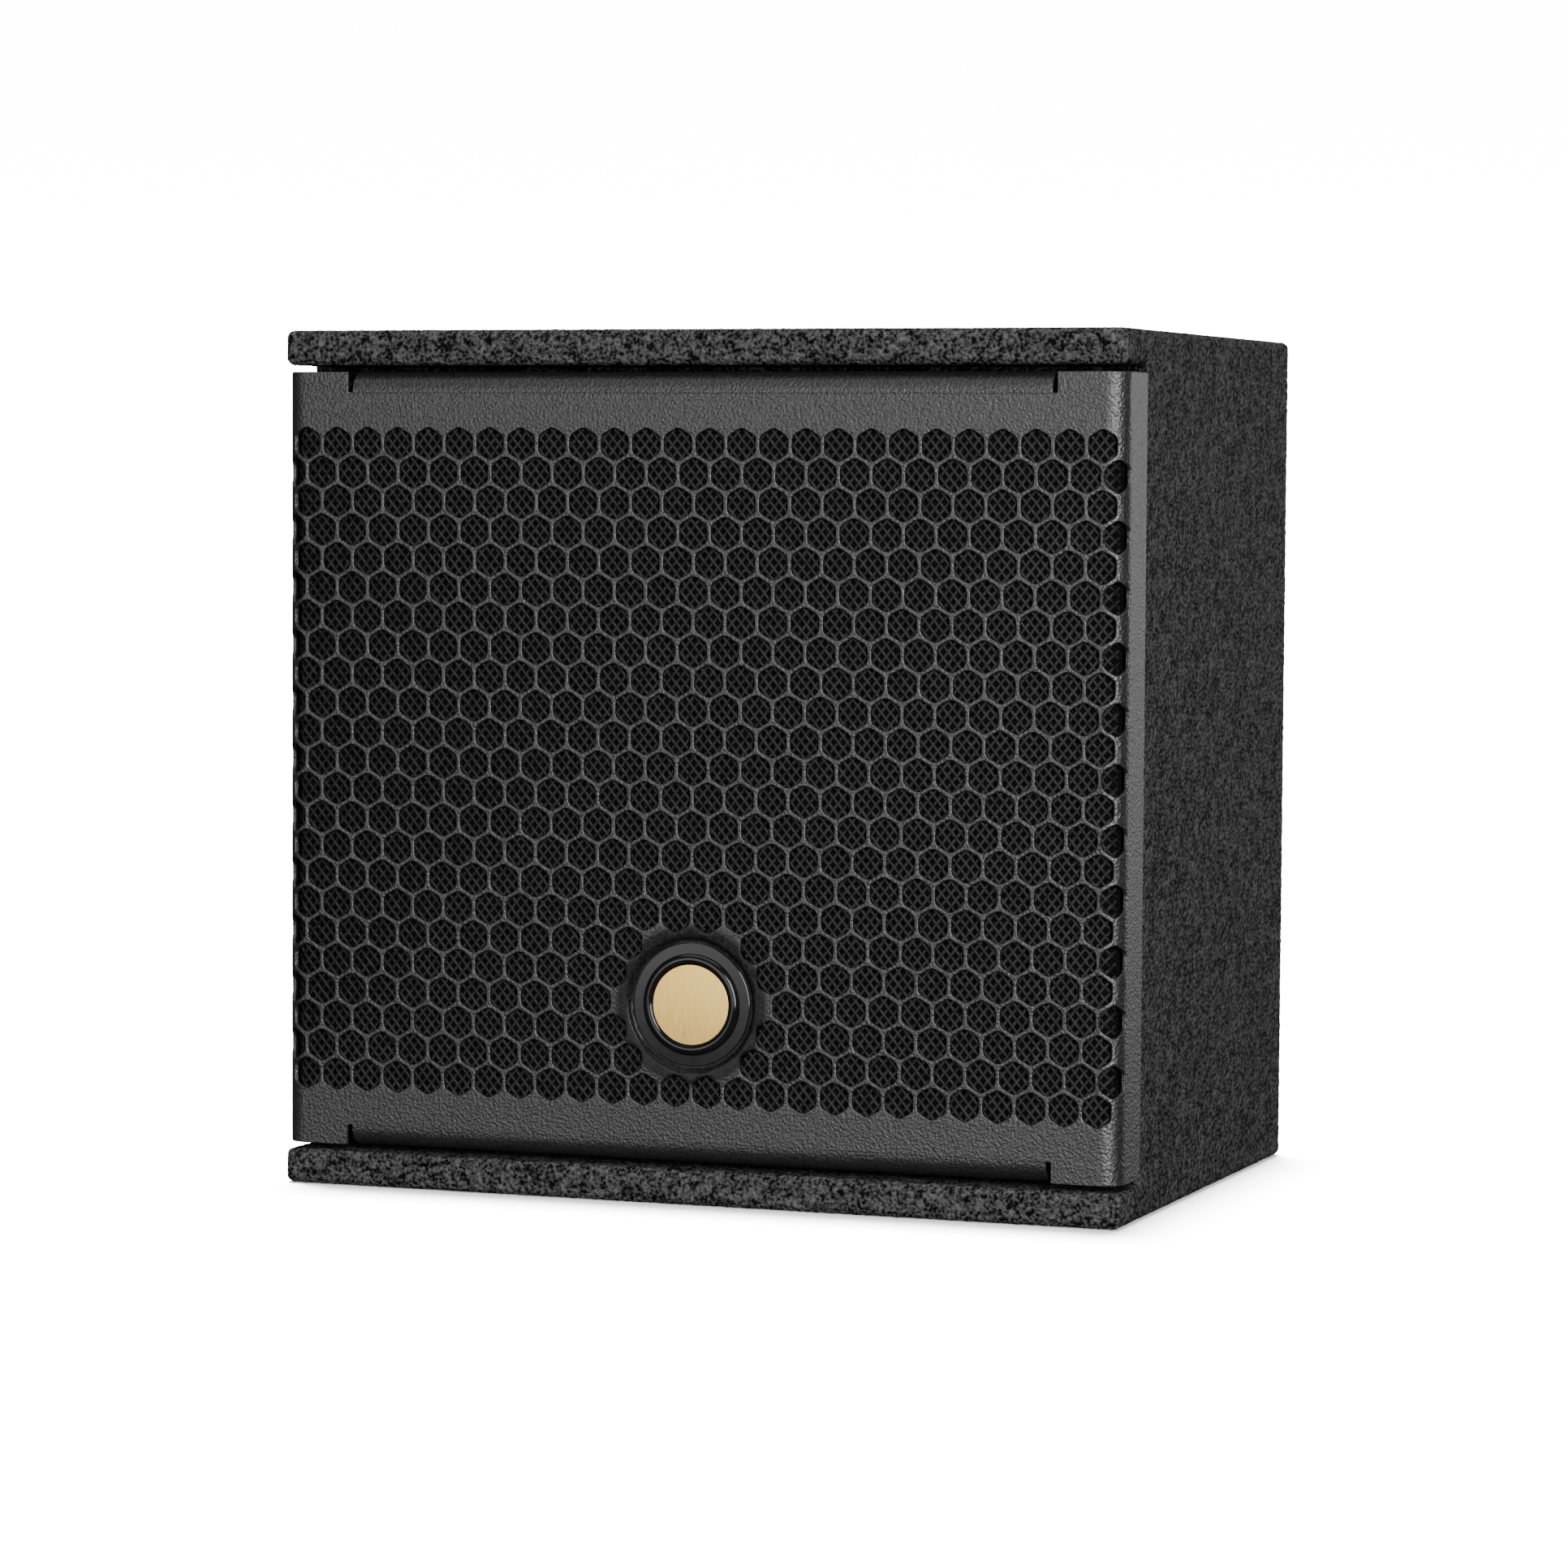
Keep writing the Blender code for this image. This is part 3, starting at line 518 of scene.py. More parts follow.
def triangles(loops, lines):
    """Points and triangles of the flat plane, cut along closed loops and open lines."""
    points = []
    edges = []
    for loop in loops:
        start = len(points)
        points += loop
        edges += [(start + i, start + (i + 1) % len(loop)) for i in range(len(loop))]
    for line in lines:
        start = len(points)
        points += line
        edges += [(start + i, start + i + 1) for i in range(len(line) - 1)]
    flat = [Vector((x / MM, z / MM)) for x, z in points]
    found = delaunay_2d_cdt(flat, edges, [], 0, 1e-4)
    return np.array([(p.x * MM, p.y * MM) for p in found[0]]), np.array(found[2])


def plate(name, outline, holes, front, thickness, edge, facing, sharp=SHARP_ANGLE, lines=()):
    """A flat plate with eased edges and holes, whose shown face is at y = front. facing is -1 or 1."""
    points, faces = triangles([outline] + holes, lines)
    middles = points[faces].mean(axis=1)
    kept = []
    for face, middle in zip(faces.tolist(), middles.tolist()):
        if within(outline, middle) and not any(within(hole, middle) for hole in holes):
            kept.append(face if facing < 0 else face[::-1])
    made = mesh_object(name, [(x, front, z) for x, z in points], kept)
    thick = made.modifiers.new("thick", "SOLIDIFY")
    thick.thickness = thickness
    thick.offset = -1
    ease = made.modifiers.new("ease", "BEVEL")
    ease.width = edge
    ease.segments = 2
    ease.limit_method = "ANGLE"
    ease.angle_limit = math.radians(60)
    ease.use_clamp_overlap = False
    return settled(made, sharp)


# ---- Cabinet panels


def spread(low, high, step, cuts=()):
    """Values from low to high, no more than a step apart, that pass through each cut."""
    stops = [low, *sorted(cuts), high]
    values = [low]
    for start, end in zip(stops, stops[1:]):
        count = max(1, math.ceil((end - start) / step - 1e-6))
        values += [start + (end - start) * index / count for index in range(1, count + 1)]
    return np.array(values)


def skin(axes, solid):
    """Points and outward quads round the solid cells of a grid."""
    shape = [len(axis) for axis in axes]
    padded = np.pad(solid.astype(np.int8), 1)
    quads = []
    for axis in range(3):
        others = [other for other in range(3) if other != axis]
        change = np.diff(padded, axis=axis)
        for sign in (1, -1):
            at = np.argwhere(change == sign)
            at[:, others] -= 1
            corners = []
            for da, db in ((0, 0), (1, 0), (1, 1), (0, 1)):
                corner = at.copy()
                corner[:, others[0]] += da
                corner[:, others[1]] += db
                corners.append(np.ravel_multi_index(corner.T, shape))
            if (sign < 0) == (axis == 1):
                corners.reverse()
            quads.append(np.stack(corners, axis=1))
    quads = np.concatenate(quads)
    used, faces = np.unique(quads, return_inverse=True)
    places_used = np.unravel_index(used, shape)
    points = np.stack([axes[k][places_used[k]] for k in range(3)], axis=1)
    return points, faces.reshape(quads.shape)


def lump(point, size):
    """Height of the coat at a point, from 0 in a crease to 1 on a crown."""
    spot = point / size
    spot = spot + 0.55 * noise.noise_vector(spot * 0.8)
    nearest = noise.voronoi(spot)[0]
    crown = min(1.0, 1.9 * (nearest[1] - nearest[0])) ** 0.7
    ripple = 0.5 + 0.5 * noise.noise(point / (size * 0.45))
    return 0.66 * crown + 0.34 * ripple


def coated(points, low, high, lumpy):
    """A block's skin with its edges rounded and the coat's lumps pressed in, and their heights."""
    core = np.clip(points, low + EDGE_RADIUS, high - EDGE_RADIUS)
    out = points - core
    length = np.linalg.norm(out, axis=1)
    moved = points.copy()
    heights = np.zeros(len(points))
    for index in np.flatnonzero(length > 1e-7):
        normal = out[index] / length[index]
        surface = core[index] + normal * EDGE_RADIUS
        share = min(1.0, max(0.0, (-normal[1] - 0.3) / 0.5)) if lumpy else 0.0
        spot = Vector(surface)
        height = 0.0
        if share < 1:
            height += (1 - share) * lump(spot, LUMP_SIZE)
        if share > 0:
            height += share * lump(spot, FRONT_LUMP_SIZE)
        depth = LUMP_DEPTH * (0.6 + 0.4 * share) * (1 - height)
        moved[index] = surface - normal * depth
        heights[index] = height
    return moved, heights


def coat_object(name, skinned, low, high, lumpy, mirrored=False):
    """A coated block, whose coat knows how high each point lies on its lumps."""
    points, faces = skinned
    points, heights = coated(points, low, high, lumpy)
    if mirrored:
        points[:, 0] *= -1
        faces = faces[:, ::-1]
    piece = mesh_object(name, points, faces, 80)
    # These heights also paint the coat's colour: painted shade in the creases, painted highlight on the
    # crowns.
    crown = piece.data.attributes.new("crown", "FLOAT", "POINT")
    crown.data.foreach_set("value", heights)
    return piece


def make_overhanging_panel(name, low, high, floor):
    """The top or bottom panel, its front finer. Its inner face is eased only in front of the baffle."""
    for part, start, end, step, cuts in (
        ("front", low[1], FRONT_STRIP, STRIP_STEP, ()),
        ("rear", FRONT_STRIP - STRIP_OVERLAP, high[1], PANEL_STEP, (BAFFLE_FRONT,)),
    ):
        xs = spread(low[0], high[0], step)
        ys = spread(start, end, step, cuts)
        zs = spread(low[2], high[2], min(step, EDGE_STEP))
        skinned = skin((xs, ys, zs), np.ones((len(xs) - 1, len(ys) - 1, len(zs) - 1), bool))
        points = skinned[0]
        lows = np.tile(low, (len(points), 1))
        highs = np.tile(high, (len(points), 1))
        joined = points[:, 1] >= BAFFLE_FRONT - 1e-9
        if floor:
            highs[joined, 2] += 2 * EDGE_RADIUS
        else:
            lows[joined, 2] -= 2 * EDGE_RADIUS
        piece = coat_object(f"{name}_{part}", skinned, lows, highs, True)
        dress(piece, CABINET, "textured_coat", name)


def make_side(name, side):
    """A side panel, flush with the top and bottom panels so that the coat runs on without a seam."""
    low = np.array([RIGHT_LOW[0], RIGHT_LOW[1], BOTTOM_HIGH[2]])
    high = np.array([RIGHT_HIGH[0], RIGHT_HIGH[1], TOP_LOW[2]])
    xs = spread(low[0], high[0], INSIDE_STEP, (high[0] - EDGE_RADIUS, high[0] - EDGE_RADIUS / 2))
    ys = spread(low[1], high[1], SIDE_STEP)
    zs = spread(low[2], high[2], SIDE_STEP)
    skinned = skin((xs, ys, zs), np.ones((len(xs) - 1, len(ys) - 1, len(zs) - 1), bool))
    clear = 2 * EDGE_RADIUS
    tall = high + np.array([0, 0, clear])
    piece = coat_object(f"{name}_coat", skinned, low - clear, tall, False, side < 0)
    dress(piece, CABINET, "textured_coat", name)


def make_back():
    """The recessed back panel, with its connector cut-out."""
    plate_low, plate_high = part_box("connector_plate")
    hole_x = plate_high[0] - BACK_HOLE_MARGIN
    hole_z = (plate_low[2] + BACK_HOLE_MARGIN, plate_high[2] - BACK_HOLE_MARGIN)
    xs = spread(BACK_LOW[0], BACK_HIGH[0], BACK_STEP, (-hole_x, hole_x))
    ys = spread(BACK_LOW[1], BACK_HIGH[1], 20 * MM)
    zs = spread(BACK_LOW[2], BACK_HIGH[2], BACK_STEP, hole_z)
    open_x = np.abs(xs[1:] + xs[:-1]) / 2 < hole_x
    middle_z = (zs[1:] + zs[:-1]) / 2
    open_z = (middle_z > hole_z[0]) & (middle_z < hole_z[1])
    solid = ~(open_x[:, None, None] & open_z[None, None, :]) & np.ones((1, len(ys) - 1, 1), bool)
    clear = 2 * EDGE_RADIUS
    wide = BACK_HIGH + np.array([clear, 0, clear])
    piece = coat_object("back_panel_coat", skin((xs, ys, zs), solid), BACK_LOW - clear, wide, False)
    dress(piece, CABINET, "textured_coat", "back_panel")


# ---- Grille


def hole_sites():
    """The middle of every hole in the flat sheet: rows of 26 and 27 by turns, less the badge's pad."""
    sites = []
    for row in range(ROWS):
        count = 26 + row % 2
        height = (row - (ROWS - 1) / 2) * ROW
        for column in range(count):
            across = (column - (count - 1) / 2) * PITCH
            up = AXIS_Z + height
            if math.hypot(across, up - BADGE_Z) > PAD_REACH:
                sites.append((across, up))
    return sites


def hole_outline(site):
    """A hexagon that stands on a corner, with its corners rounded."""
    outline = []
    for corner in range(6):
        turn = 30 + 60 * corner
        angle = math.radians(turn)
        centre = (site[0] + CORNER_REACH * math.cos(angle), site[1] + CORNER_REACH * math.sin(angle))
        outline += round_corner(centre, HOLE_CORNER, turn - 30, turn + 30, CORNER_STEPS)
    return outline


def inside_hole(points):
    """Which points of the flat sheet lie in a hole, by their distance to the nearest outline."""
    rows = np.round((points[:, 1] - AXIS_Z) / ROW + (ROWS - 1) / 2)
    best = np.full(len(points), np.inf)
    for shift in (-1, 0, 1):
        row = np.clip(rows + shift, 0, ROWS - 1)
        last = (25 + row % 2) / 2
        column = np.clip(np.round(points[:, 0] / PITCH + last), 0, 2 * last)
        x = points[:, 0] - (column - last) * PITCH
        z = points[:, 1] - AXIS_Z - (row - (ROWS - 1) / 2) * ROW
        turn = np.arctan2(z, x) - math.pi / 6
        turn -= np.round(turn / (math.pi / 3)) * (math.pi / 3)
        along = np.hypot(x, z) * np.cos(turn) - CORNER_REACH
        aside = np.abs(np.hypot(x, z) * np.sin(turn))
        flat = (along * math.sqrt(3) + aside) / 2 - HOLE_CORNER
        rounded = np.hypot(along, aside) - HOLE_CORNER
        depth = np.where(aside < along / math.sqrt(3), rounded, flat)
        in_pad = np.hypot(points[:, 0] - x, points[:, 1] - z - BADGE_Z) < PAD_REACH
        best = np.minimum(best, np.where(in_pad, np.inf, depth))
    return best < 0


def blank_sizes():
    """Half the flat face, half the whole blank, the tabs' height and the lips' height."""
    half_face = GRILLE_HIGH[0] - SIDE_BEND
    flange = GRILLE_HIGH[1] - GRILLE_FRONT - SIDE_BEND
    half_blank = half_face + SIDE_BEND * math.pi / 2 + flange
    half_tab = (GRILLE_HIGH[2] - GRILLE_LOW[2]) / 2
    half_lip = half_tab - LIP_BEND + LIP_BEND * math.pi / 2 + LIP_STRAIGHT
    return half_face, half_blank, half_tab, half_lip


def folded(across, up):
    """Where a point of the flat blank lies on the folded sheet's outer face."""
    half_face, _, half_tab, _ = blank_sizes()
    x, y, z = across, GRILLE_FRONT, up
    beyond = abs(across) - half_face
    if beyond > 0:
        angle = min(beyond / SIDE_BEND, math.pi / 2)
        straight = max(0.0, beyond - SIDE_BEND * math.pi / 2)
        x = math.copysign(half_face + SIDE_BEND * math.sin(angle), across)
        y = GRILLE_FRONT + SIDE_BEND * (1 - math.cos(angle)) + straight
    rise = abs(up - AXIS_Z) - (half_tab - LIP_BEND)
    if rise > 0 and abs(across) < NOTCH_X:
        angle = min(rise / LIP_BEND, math.pi / 2)
        straight = max(0.0, rise - LIP_BEND * math.pi / 2)
        z = AXIS_Z + math.copysign(half_tab - LIP_BEND + LIP_BEND * math.sin(angle), up - AXIS_Z)
        y = GRILLE_FRONT + LIP_BEND * (1 - math.cos(angle)) + straight
    floor, brim, depth = DISH
    share = (brim - math.hypot(across, up - BADGE_Z)) / (brim - floor)
    share = min(1.0, max(0.0, share))
    return x, y + depth * share * share * (3 - 2 * share), z


def make_grille():
    """The folded sheet with its hexagonal holes, relief notches, lips and dished badge pad."""
    half_face, half_blank, half_tab, half_lip = blank_sizes()
    top, lip = half_tab, half_lip
    inner, outer = NOTCH_X - NOTCH_HALF, NOTCH_X + NOTCH_HALF
    quarter = [
        (half_blank, top),
        (outer, top),
        (outer, top - NOTCH_DEPTH),
        (inner, top - NOTCH_DEPTH),
        (inner, lip),
    ]
    outline = [(x, AXIS_Z + z) for x, z in quarter]
    outline += [(-x, AXIS_Z + z) for x, z in reversed(quarter)]
    outline += [(-x, AXIS_Z - z) for x, z in quarter]
    outline += [(x, AXIS_Z - z) for x, z in reversed(quarter)]
    loops = [outline] + [hole_outline(site) for site in hole_sites()]
    for ring in range(4):
        radius = DISH[0] + (DISH[1] - DISH[0]) * ring / 3
        loops.append(circle((0, BADGE_Z), radius, 72))
    lines = []
    shares = [-BEND_EDGE, *(step / BEND_STEPS for step in range(BEND_STEPS + 1)), 1 + BEND_EDGE]
    for side in (-1, 1):
        for share in shares:
            x = side * (half_face + SIDE_BEND * math.pi / 2 * share)
            lines.append([(x, AXIS_Z - half_tab), (x, AXIS_Z + half_tab)])
            rise = half_tab - LIP_BEND + LIP_BEND * math.pi / 2 * share
            lines.append([(-inner, AXIS_Z + side * rise), (inner, AXIS_Z + side * rise)])
    points, faces = triangles(loops, lines)
    middles = points[faces].mean(axis=1)
    across = np.abs(middles[:, 0])
    up = np.abs(middles[:, 1] - AXIS_Z)
    tab = (up < top) & ~((across > inner) & (across < outer) & (up > top - NOTCH_DEPTH))
    keep = (tab | (across < inner)) & ~inside_hole(middles)
    keep &= (across > inner) | (up < lip)
    keep &= sheet_area(points, faces) > 1e-12
    used, kept = np.unique(faces[keep], return_inverse=True)
    bent = [folded(x, z) for x, z in points[used].tolist()]
    grille = mesh_object("grille_sheet", bent, kept.reshape(-1, 3).tolist())
    front_points = len(grille.data.vertices)
    thick = grille.modifiers.new("thick", "SOLIDIFY")
    thick.thickness = SHEET
    thick.offset = -1
    thick.use_even_offset = True
    settled(grille)
    mark_rims(grille.data, front_points)
    ease = grille.modifiers.new("ease", "BEVEL")
    ease.width = RIM_EASE
    ease.segments = 2
    ease.limit_method = "WEIGHT"
    ease.use_clamp_overlap = False
    ease.loop_slide = False
    level = settled(grille, 60).modifiers.new("level", "WEIGHTED_NORMAL")
    level.weight = 100
    level.keep_sharp = True
    dress(grille, GRILLE, "grille_paint", "grille")


def mark_rims(mesh, front_points):
    """Marks the sharp edges between points of the front face, so that a bevel rounds only those."""
    steep = math.cos(math.radians(60))
    normals = [[] for _ in mesh.edges]
    for face in mesh.polygons:
        for loop in face.loop_indices:
            normals[mesh.loops[loop].edge_index].append(face.normal)
    weights = mesh.attributes.new("bevel_weight_edge", "FLOAT", "EDGE")
    for edge, beside in zip(mesh.edges, normals):
        if max(edge.vertices) < front_points and len(beside) == 2 and beside[0].dot(beside[1]) < steep:
            weights.data[edge.index].value = 1.0


def sheet_area(points, faces):
    """The area of each flat triangle."""
    a, b, c = (points[faces[:, k]] for k in range(3))
    first, second = b - a, c - a
    return np.abs(first[:, 0] * second[:, 1] - first[:, 1] * second[:, 0]) / 2


def bent_back(x):
    """How far the foam's long edges lean back inside the grille's side bends."""
    return max(0.0, abs(x) - FOAM_FLAT)


def make_foam():
    """The foam sheet, and the diamond net of strands bonded to its front."""
    outline = [(x, z + AXIS_Z) for x, z in round_rectangle(*(FOAM_HIGH - FOAM_LOW)[[0, 2]], 3 * MM)]
    front = FOAM_LOW[1] + FOAM_SKIN
    edges = [[(side * FOAM_FLAT, FOAM_LOW[2]), (side * FOAM_FLAT, FOAM_HIGH[2])] for side in (-1, 1)]
    hole = circle((0, BADGE_Z), FOAM_HOLE)
    foam = plate("foam_sheet", outline, [hole], front, FOAM_HIGH[1] - front, 0.6 * MM, -1, 50, edges)
    for vert in foam.data.vertices:
        room = FOAM_HIGH[1] - vert.co.y
        vert.co.y += min(bent_back(vert.co.x), max(0.0, room - 0.5 * MM))
    dress(foam, GRILLE, "foam", "grille_foam")
    points = []
    faces = []
    for lean, level in NET_LEVELS.items():
        for start, end in net_lines(lean):
            add_strand(points, faces, start, end, FOAM_LOW[1] + level)
    net = mesh_object("foam_net", points, faces, 70)
    dress(net, GRILLE, "foam", mat=NET)


def net_lines(lean):
    """The stretches of strand that lean one way, clear of the foam's edges and its opening."""
    low_x, high_x = FOAM_LOW[0] + MM, FOAM_HIGH[0] - MM
    low_z, high_z = FOAM_LOW[2] + MM, FOAM_HIGH[2] - MM
    half_rise = math.ceil((high_z - low_z) / CELL_Z / 2) + 1
    half_run = math.ceil((high_x - low_x) / CELL_X / 2) + 1
    found = []
    for number in range(-half_run - half_rise, half_run + half_rise + 1):
        run = []
        for step in range(-half_rise * STEPS_PER_CELL, half_rise * STEPS_PER_CELL + 1):
            x = number * CELL_X + lean * step * CELL_X / STEPS_PER_CELL
            z = AXIS_Z + step * CELL_Z / STEPS_PER_CELL
            clear = low_x < x < high_x and low_z < z < high_z
            if clear and math.hypot(x, z - BADGE_Z) > FOAM_HOLE:
                run.append((x, z))
                continue
            if len(run) > 1:
                found.append((run[0], run[-1]))
            run = []
    return found


def add_strand(points, faces, start, end, level):
    """Adds one flattened strand between two points of the net, bent back with the foam's edges."""
    along = Vector((end[0] - start[0], 0, end[1] - start[1])).normalized()
    side = along.cross(Vector((0, 1, 0)))
    spots = [start, end]
    for edge in (-FOAM_FLAT, FOAM_FLAT):
        share = (edge - start[0]) / (end[0] - start[0])
        if 0.001 < share < 0.999:
            spots.append((edge, start[1] + (end[1] - start[1]) * share))
    spots.sort(key=lambda spot: spot[1])
    first = len(points)
    sides = STRAND_SIDES
    for x, z in spots:
        for turn in range(sides):
            angle = 2 * math.pi * turn / sides
            offset = side * math.cos(angle) * STRAND_R + Vector((0, math.sin(angle) * STRAND_R * 0.7, 0))
            points.append(tuple(Vector((x, level + bent_back(x), z)) + offset))
    rings = [range(first + index * sides, first + (index + 1) * sides) for index in range(len(spots))]
    for low, high in zip(rings, rings[1:]):
        for turn in range(sides):
            after = (turn + 1) % sides
            faces.append([low[turn], low[after], high[after], high[turn]])
    faces.append(list(reversed(rings[0])))
    faces.append(list(rings[-1]))


def make_badge():
    """A plain round badge: a gloss black rim round a blank gold disc."""
    centre = (0, GRILLE_FRONT, BADGE_Z)
    rim = [(0, 0.4), (16.6, 0.4), (16.9, 0.2), (17.1, -0.5), (17.5, -0.8), (18.2, -0.95)]
    rim += [(19.2, -0.95), (19.9, -0.75), (20.8, 0.0), (21, 0.4), (21, 1.0)]
    rim += [(25.2, 1.0), (25.5, 1.2), (25.5, 1.5), (0, 1.5)]
    dress(turned("badge_rim_gloss", rim, centre, FACING_FRONT), GRILLE, "badge_black", "badge_rim")
    dome = [(16.4 * step / 8, -0.5 + 0.35 * (step / 8) ** 2) for step in range(9)]
    disc = dome + [(16.6, 0.0), (16.6, 0.1), (0, 0.1)]
    dress(turned("badge_disc_gold", disc, centre, FACING_FRONT), GRILLE, "badge_gold", "badge_disc")


# ---- Driver


def make_cone():
    """The cone, finely turned, with two shallow ribs."""
    sweep = [index / 20 for index in range(21)]
    face = [(91 - 57 * t**0.9, -5.1 + 38 * t**1.15 - 0.35 * rib(t)) for t in sweep]
    back = [(91 - 56 * t**0.9, -3.9 + 38 * t**1.15) for t in sweep]
    outline = [(97.5, -5.1), (97.5, -3.9)] + back + [(35, 37.5), (33.9, 37.5)] + face[::-1]
    dress(turned("cone_paper", outline, DRIVER_PLACE, FACING_FRONT), CONE, "cone_paper", "cone")


def rib(share):
    """Height of the cone's ribs at a share of the way to its neck."""
    return sum(math.exp(-(((share - at) / 0.05) ** 2)) for at in (0.3, 0.55))


def make_surround():
    """The half-roll edge in sectors, between the frame and the cone."""
    over = round_corner((105, -5.9), 7.5, -180, 0, 14)
    under = round_corner((105, -5.9), 6.5, 0, -180, 14)
    outline = [(119, -6.4), (119, -5.4), (111.5, -5.4)] + under[1:-1]
    outline += [(98.5, -5.4), (91.5, -5.4), (91.5, -6.4)] + over[:-1] + [(112.5, -6.4)]
    sweep = 360 / SURROUND_SECTORS
    for number in range(SURROUND_SECTORS):
        name = f"surround_{number + 1:02d}"
        start = number * sweep
        piece = turned(name, outline, DRIVER_PLACE, FACING_FRONT, 8, start, sweep)
        piece.data.materials.append(FINISHES["rubber"])
        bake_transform(piece)
        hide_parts("surround")


def make_basket():
    """The cast frame: flange with screw holes, windowed cone, spider shelf and magnet seat."""
    outside = [(129.7, -5), (130.5, -4.4), (130.5, -0.3), (115.2, -0.3), (114, 8), (78, 54), (78, 59.7)]
    inside = [(46, 59.7), (46, 56), (66, 56), (66, 49), (78, 49), (110.5, 8), (110.5, -4.6), (110.9, -5)]
    basket = turned("basket_casting", outside + inside, DRIVER_PLACE, FACING_FRONT)
    window = (BAFFLE_FRONT + 14 * MM, BAFFLE_FRONT + 43 * MM)
    tools = [bar_tool(140 * MM, 33 * MM, window, 60 * number) for number in range(3)]
    for number in range(1, 5):
        low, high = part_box(f"driver_screw_{number}")
        spot = ((low[0] + high[0]) / 2, BAFFLE_FRONT - 7 * MM, (low[2] + high[2]) / 2)
        tools.append(turned("hole_tool", [(0, 0), (2.8, 0), (2.8, 9), (0, 9)], spot, FACING_FRONT, 24))
    for tool in tools:
        cut = basket.modifiers.new(tool.name, "BOOLEAN")
        cut.operation = "DIFFERENCE"
        cut.object = tool
    settled(basket)
    for tool in tools:
        bpy.data.objects.remove(tool)
    dress(basket, CABINET, "cast_metal", "driver_basket")


def bar_tool(half_length, half_width, depths, turn):
    """A bar through the driver's axis, turned about it."""
    axes = [np.array([-half_length, half_length]), np.array(depths), np.array([-half_width, half_width])]
    points, faces = skin(axes, np.ones((1, 1, 1), bool))
    place = Matrix.Translation((0, 0, AXIS_Z)) @ Matrix.Rotation(math.radians(turn), 4, "Y")
    return mesh_object("window_tool", [tuple(place @ Vector(point)) for point in points], faces)


def make_driver_front():
    """Gasket, horn and screws of the driver."""
    gasket = [(118.6, -9), (119, -8.6), (119, -6.7), (113, -6.7), (113, -8.6), (113.4, -9)]
    piece = turned("gasket_ring", gasket, DRIVER_PLACE, FACING_FRONT)
    dress(piece, CABINET, "rubber", "driver_gasket")
    throat, mouth, start, length = 12.7, 40, 59.7, 57.7
    flare = math.log(mouth / throat) / length
    inside = []
    for index in range(25):
        along = length * index / 24
        inside.append((throat * math.exp(flare * along), start - along))
    outside = [(radius + 2.5, depth) for radius, depth in inside[1:]]
    lip = [(inside[-1][0] + 0.6, 1.6), (inside[-1][0] + 1.9, 1.6)]
    outline = lip[1:] + outside[::-1] + [(28, 56), (28, start)] + inside + lip[:1]
    horn = turned("horn_flare", outline, DRIVER_PLACE, FACING_FRONT)
    dress(horn, CABINET, "black_plastic", "treble_horn")
    for number in range(1, 5):
        node_name = f"driver_screw_{number}"
        low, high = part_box(node_name)
        spot = ((low[0] + high[0]) / 2, (low[2] + high[2]) / 2)
        piece = hex_screw(f"{node_name}_head", spot, low[1], high[1], 4.6 * MM, 2.5 * MM, 2.1 * MM, -1)
        dress(piece, CABINET, "black_steel", node_name)


def hex_screw(name, spot, head_y, tip_y, head_r, shank_r, key_r, facing):
    """A socket screw: eased head with a hexagonal recess, and its shank."""
    hexagon = circle(spot, key_r, 6)
    tall = 0.75 * head_r
    head = plate("head", circle(spot, head_r, 40), [hexagon], head_y, tall, 0.22 * head_r, facing)
    turn = FACING_FRONT if facing < 0 else FACING_BACK
    base = 0.7 * tall / MM
    reach = abs(tip_y - head_y) / MM
    shank = [(0, base), (head_r * 0.8 / MM, base), (head_r * 0.8 / MM, tall / MM)]
    shank += [(shank_r / MM, tall / MM), (shank_r / MM, reach - 1), (0, reach)]
    stem = turned("stem", shank, (spot[0], head_y, spot[1]), turn, 32)
    return merged(name, [head, stem])


def make_ports():
    """The flared reflex tubes."""
    flare = round_corner((38, 5.5), 8, -180, -90, 14)
    outline = [(38.0, -2.5), (38.0, -0.3), (32.7, -0.3), (32.7, 118), (30, 118)] + flare
    for side in ("left", "right"):
        low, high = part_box(f"{side}_port_tube")
        spot = ((low[0] + high[0]) / 2, BAFFLE_FRONT, (low[2] + high[2]) / 2)
        piece = turned(f"{side}_port_flare", outline, spot, FACING_FRONT, 96)
        dress(piece, CABINET, "black_plastic", f"{side}_port_tube")


def make_magnets():
    """The posts and pot magnets that hold the grille."""
    for number in range(1, 5):
        low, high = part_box(f"pot_magnet_{number}")
        spot = ((low[0] + high[0]) / 2, low[1], (low[2] + high[2]) / 2)
        radius = (high[0] - low[0]) / 2 / MM
        thick = (high[1] - low[1]) / MM
        cup = [(0, 0.3), (5, 0.3), (5.2, 0), (radius - 0.5, 0), (radius, 0.5)]
        cup += [(radius, thick), (0, thick)]
        piece = turned(f"magnet_cup_{number}", cup, spot, FACING_FRONT, 64)
        dress(piece, CABINET, "plated_steel", f"pot_magnet_{number}")
        low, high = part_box(f"magnet_post_{number}")
        tall = (high[1] - low[1]) / MM
        post = [(0, 0), (radius - 0.4, 0), (radius, 0.4), (radius, tall), (0, tall)]
        piece = turned(f"magnet_spacer_{number}", post, (spot[0], low[1], spot[2]), FACING_FRONT, 64)
        dress(piece, CABINET, "black_plastic", f"magnet_post_{number}")


# ---- Rear


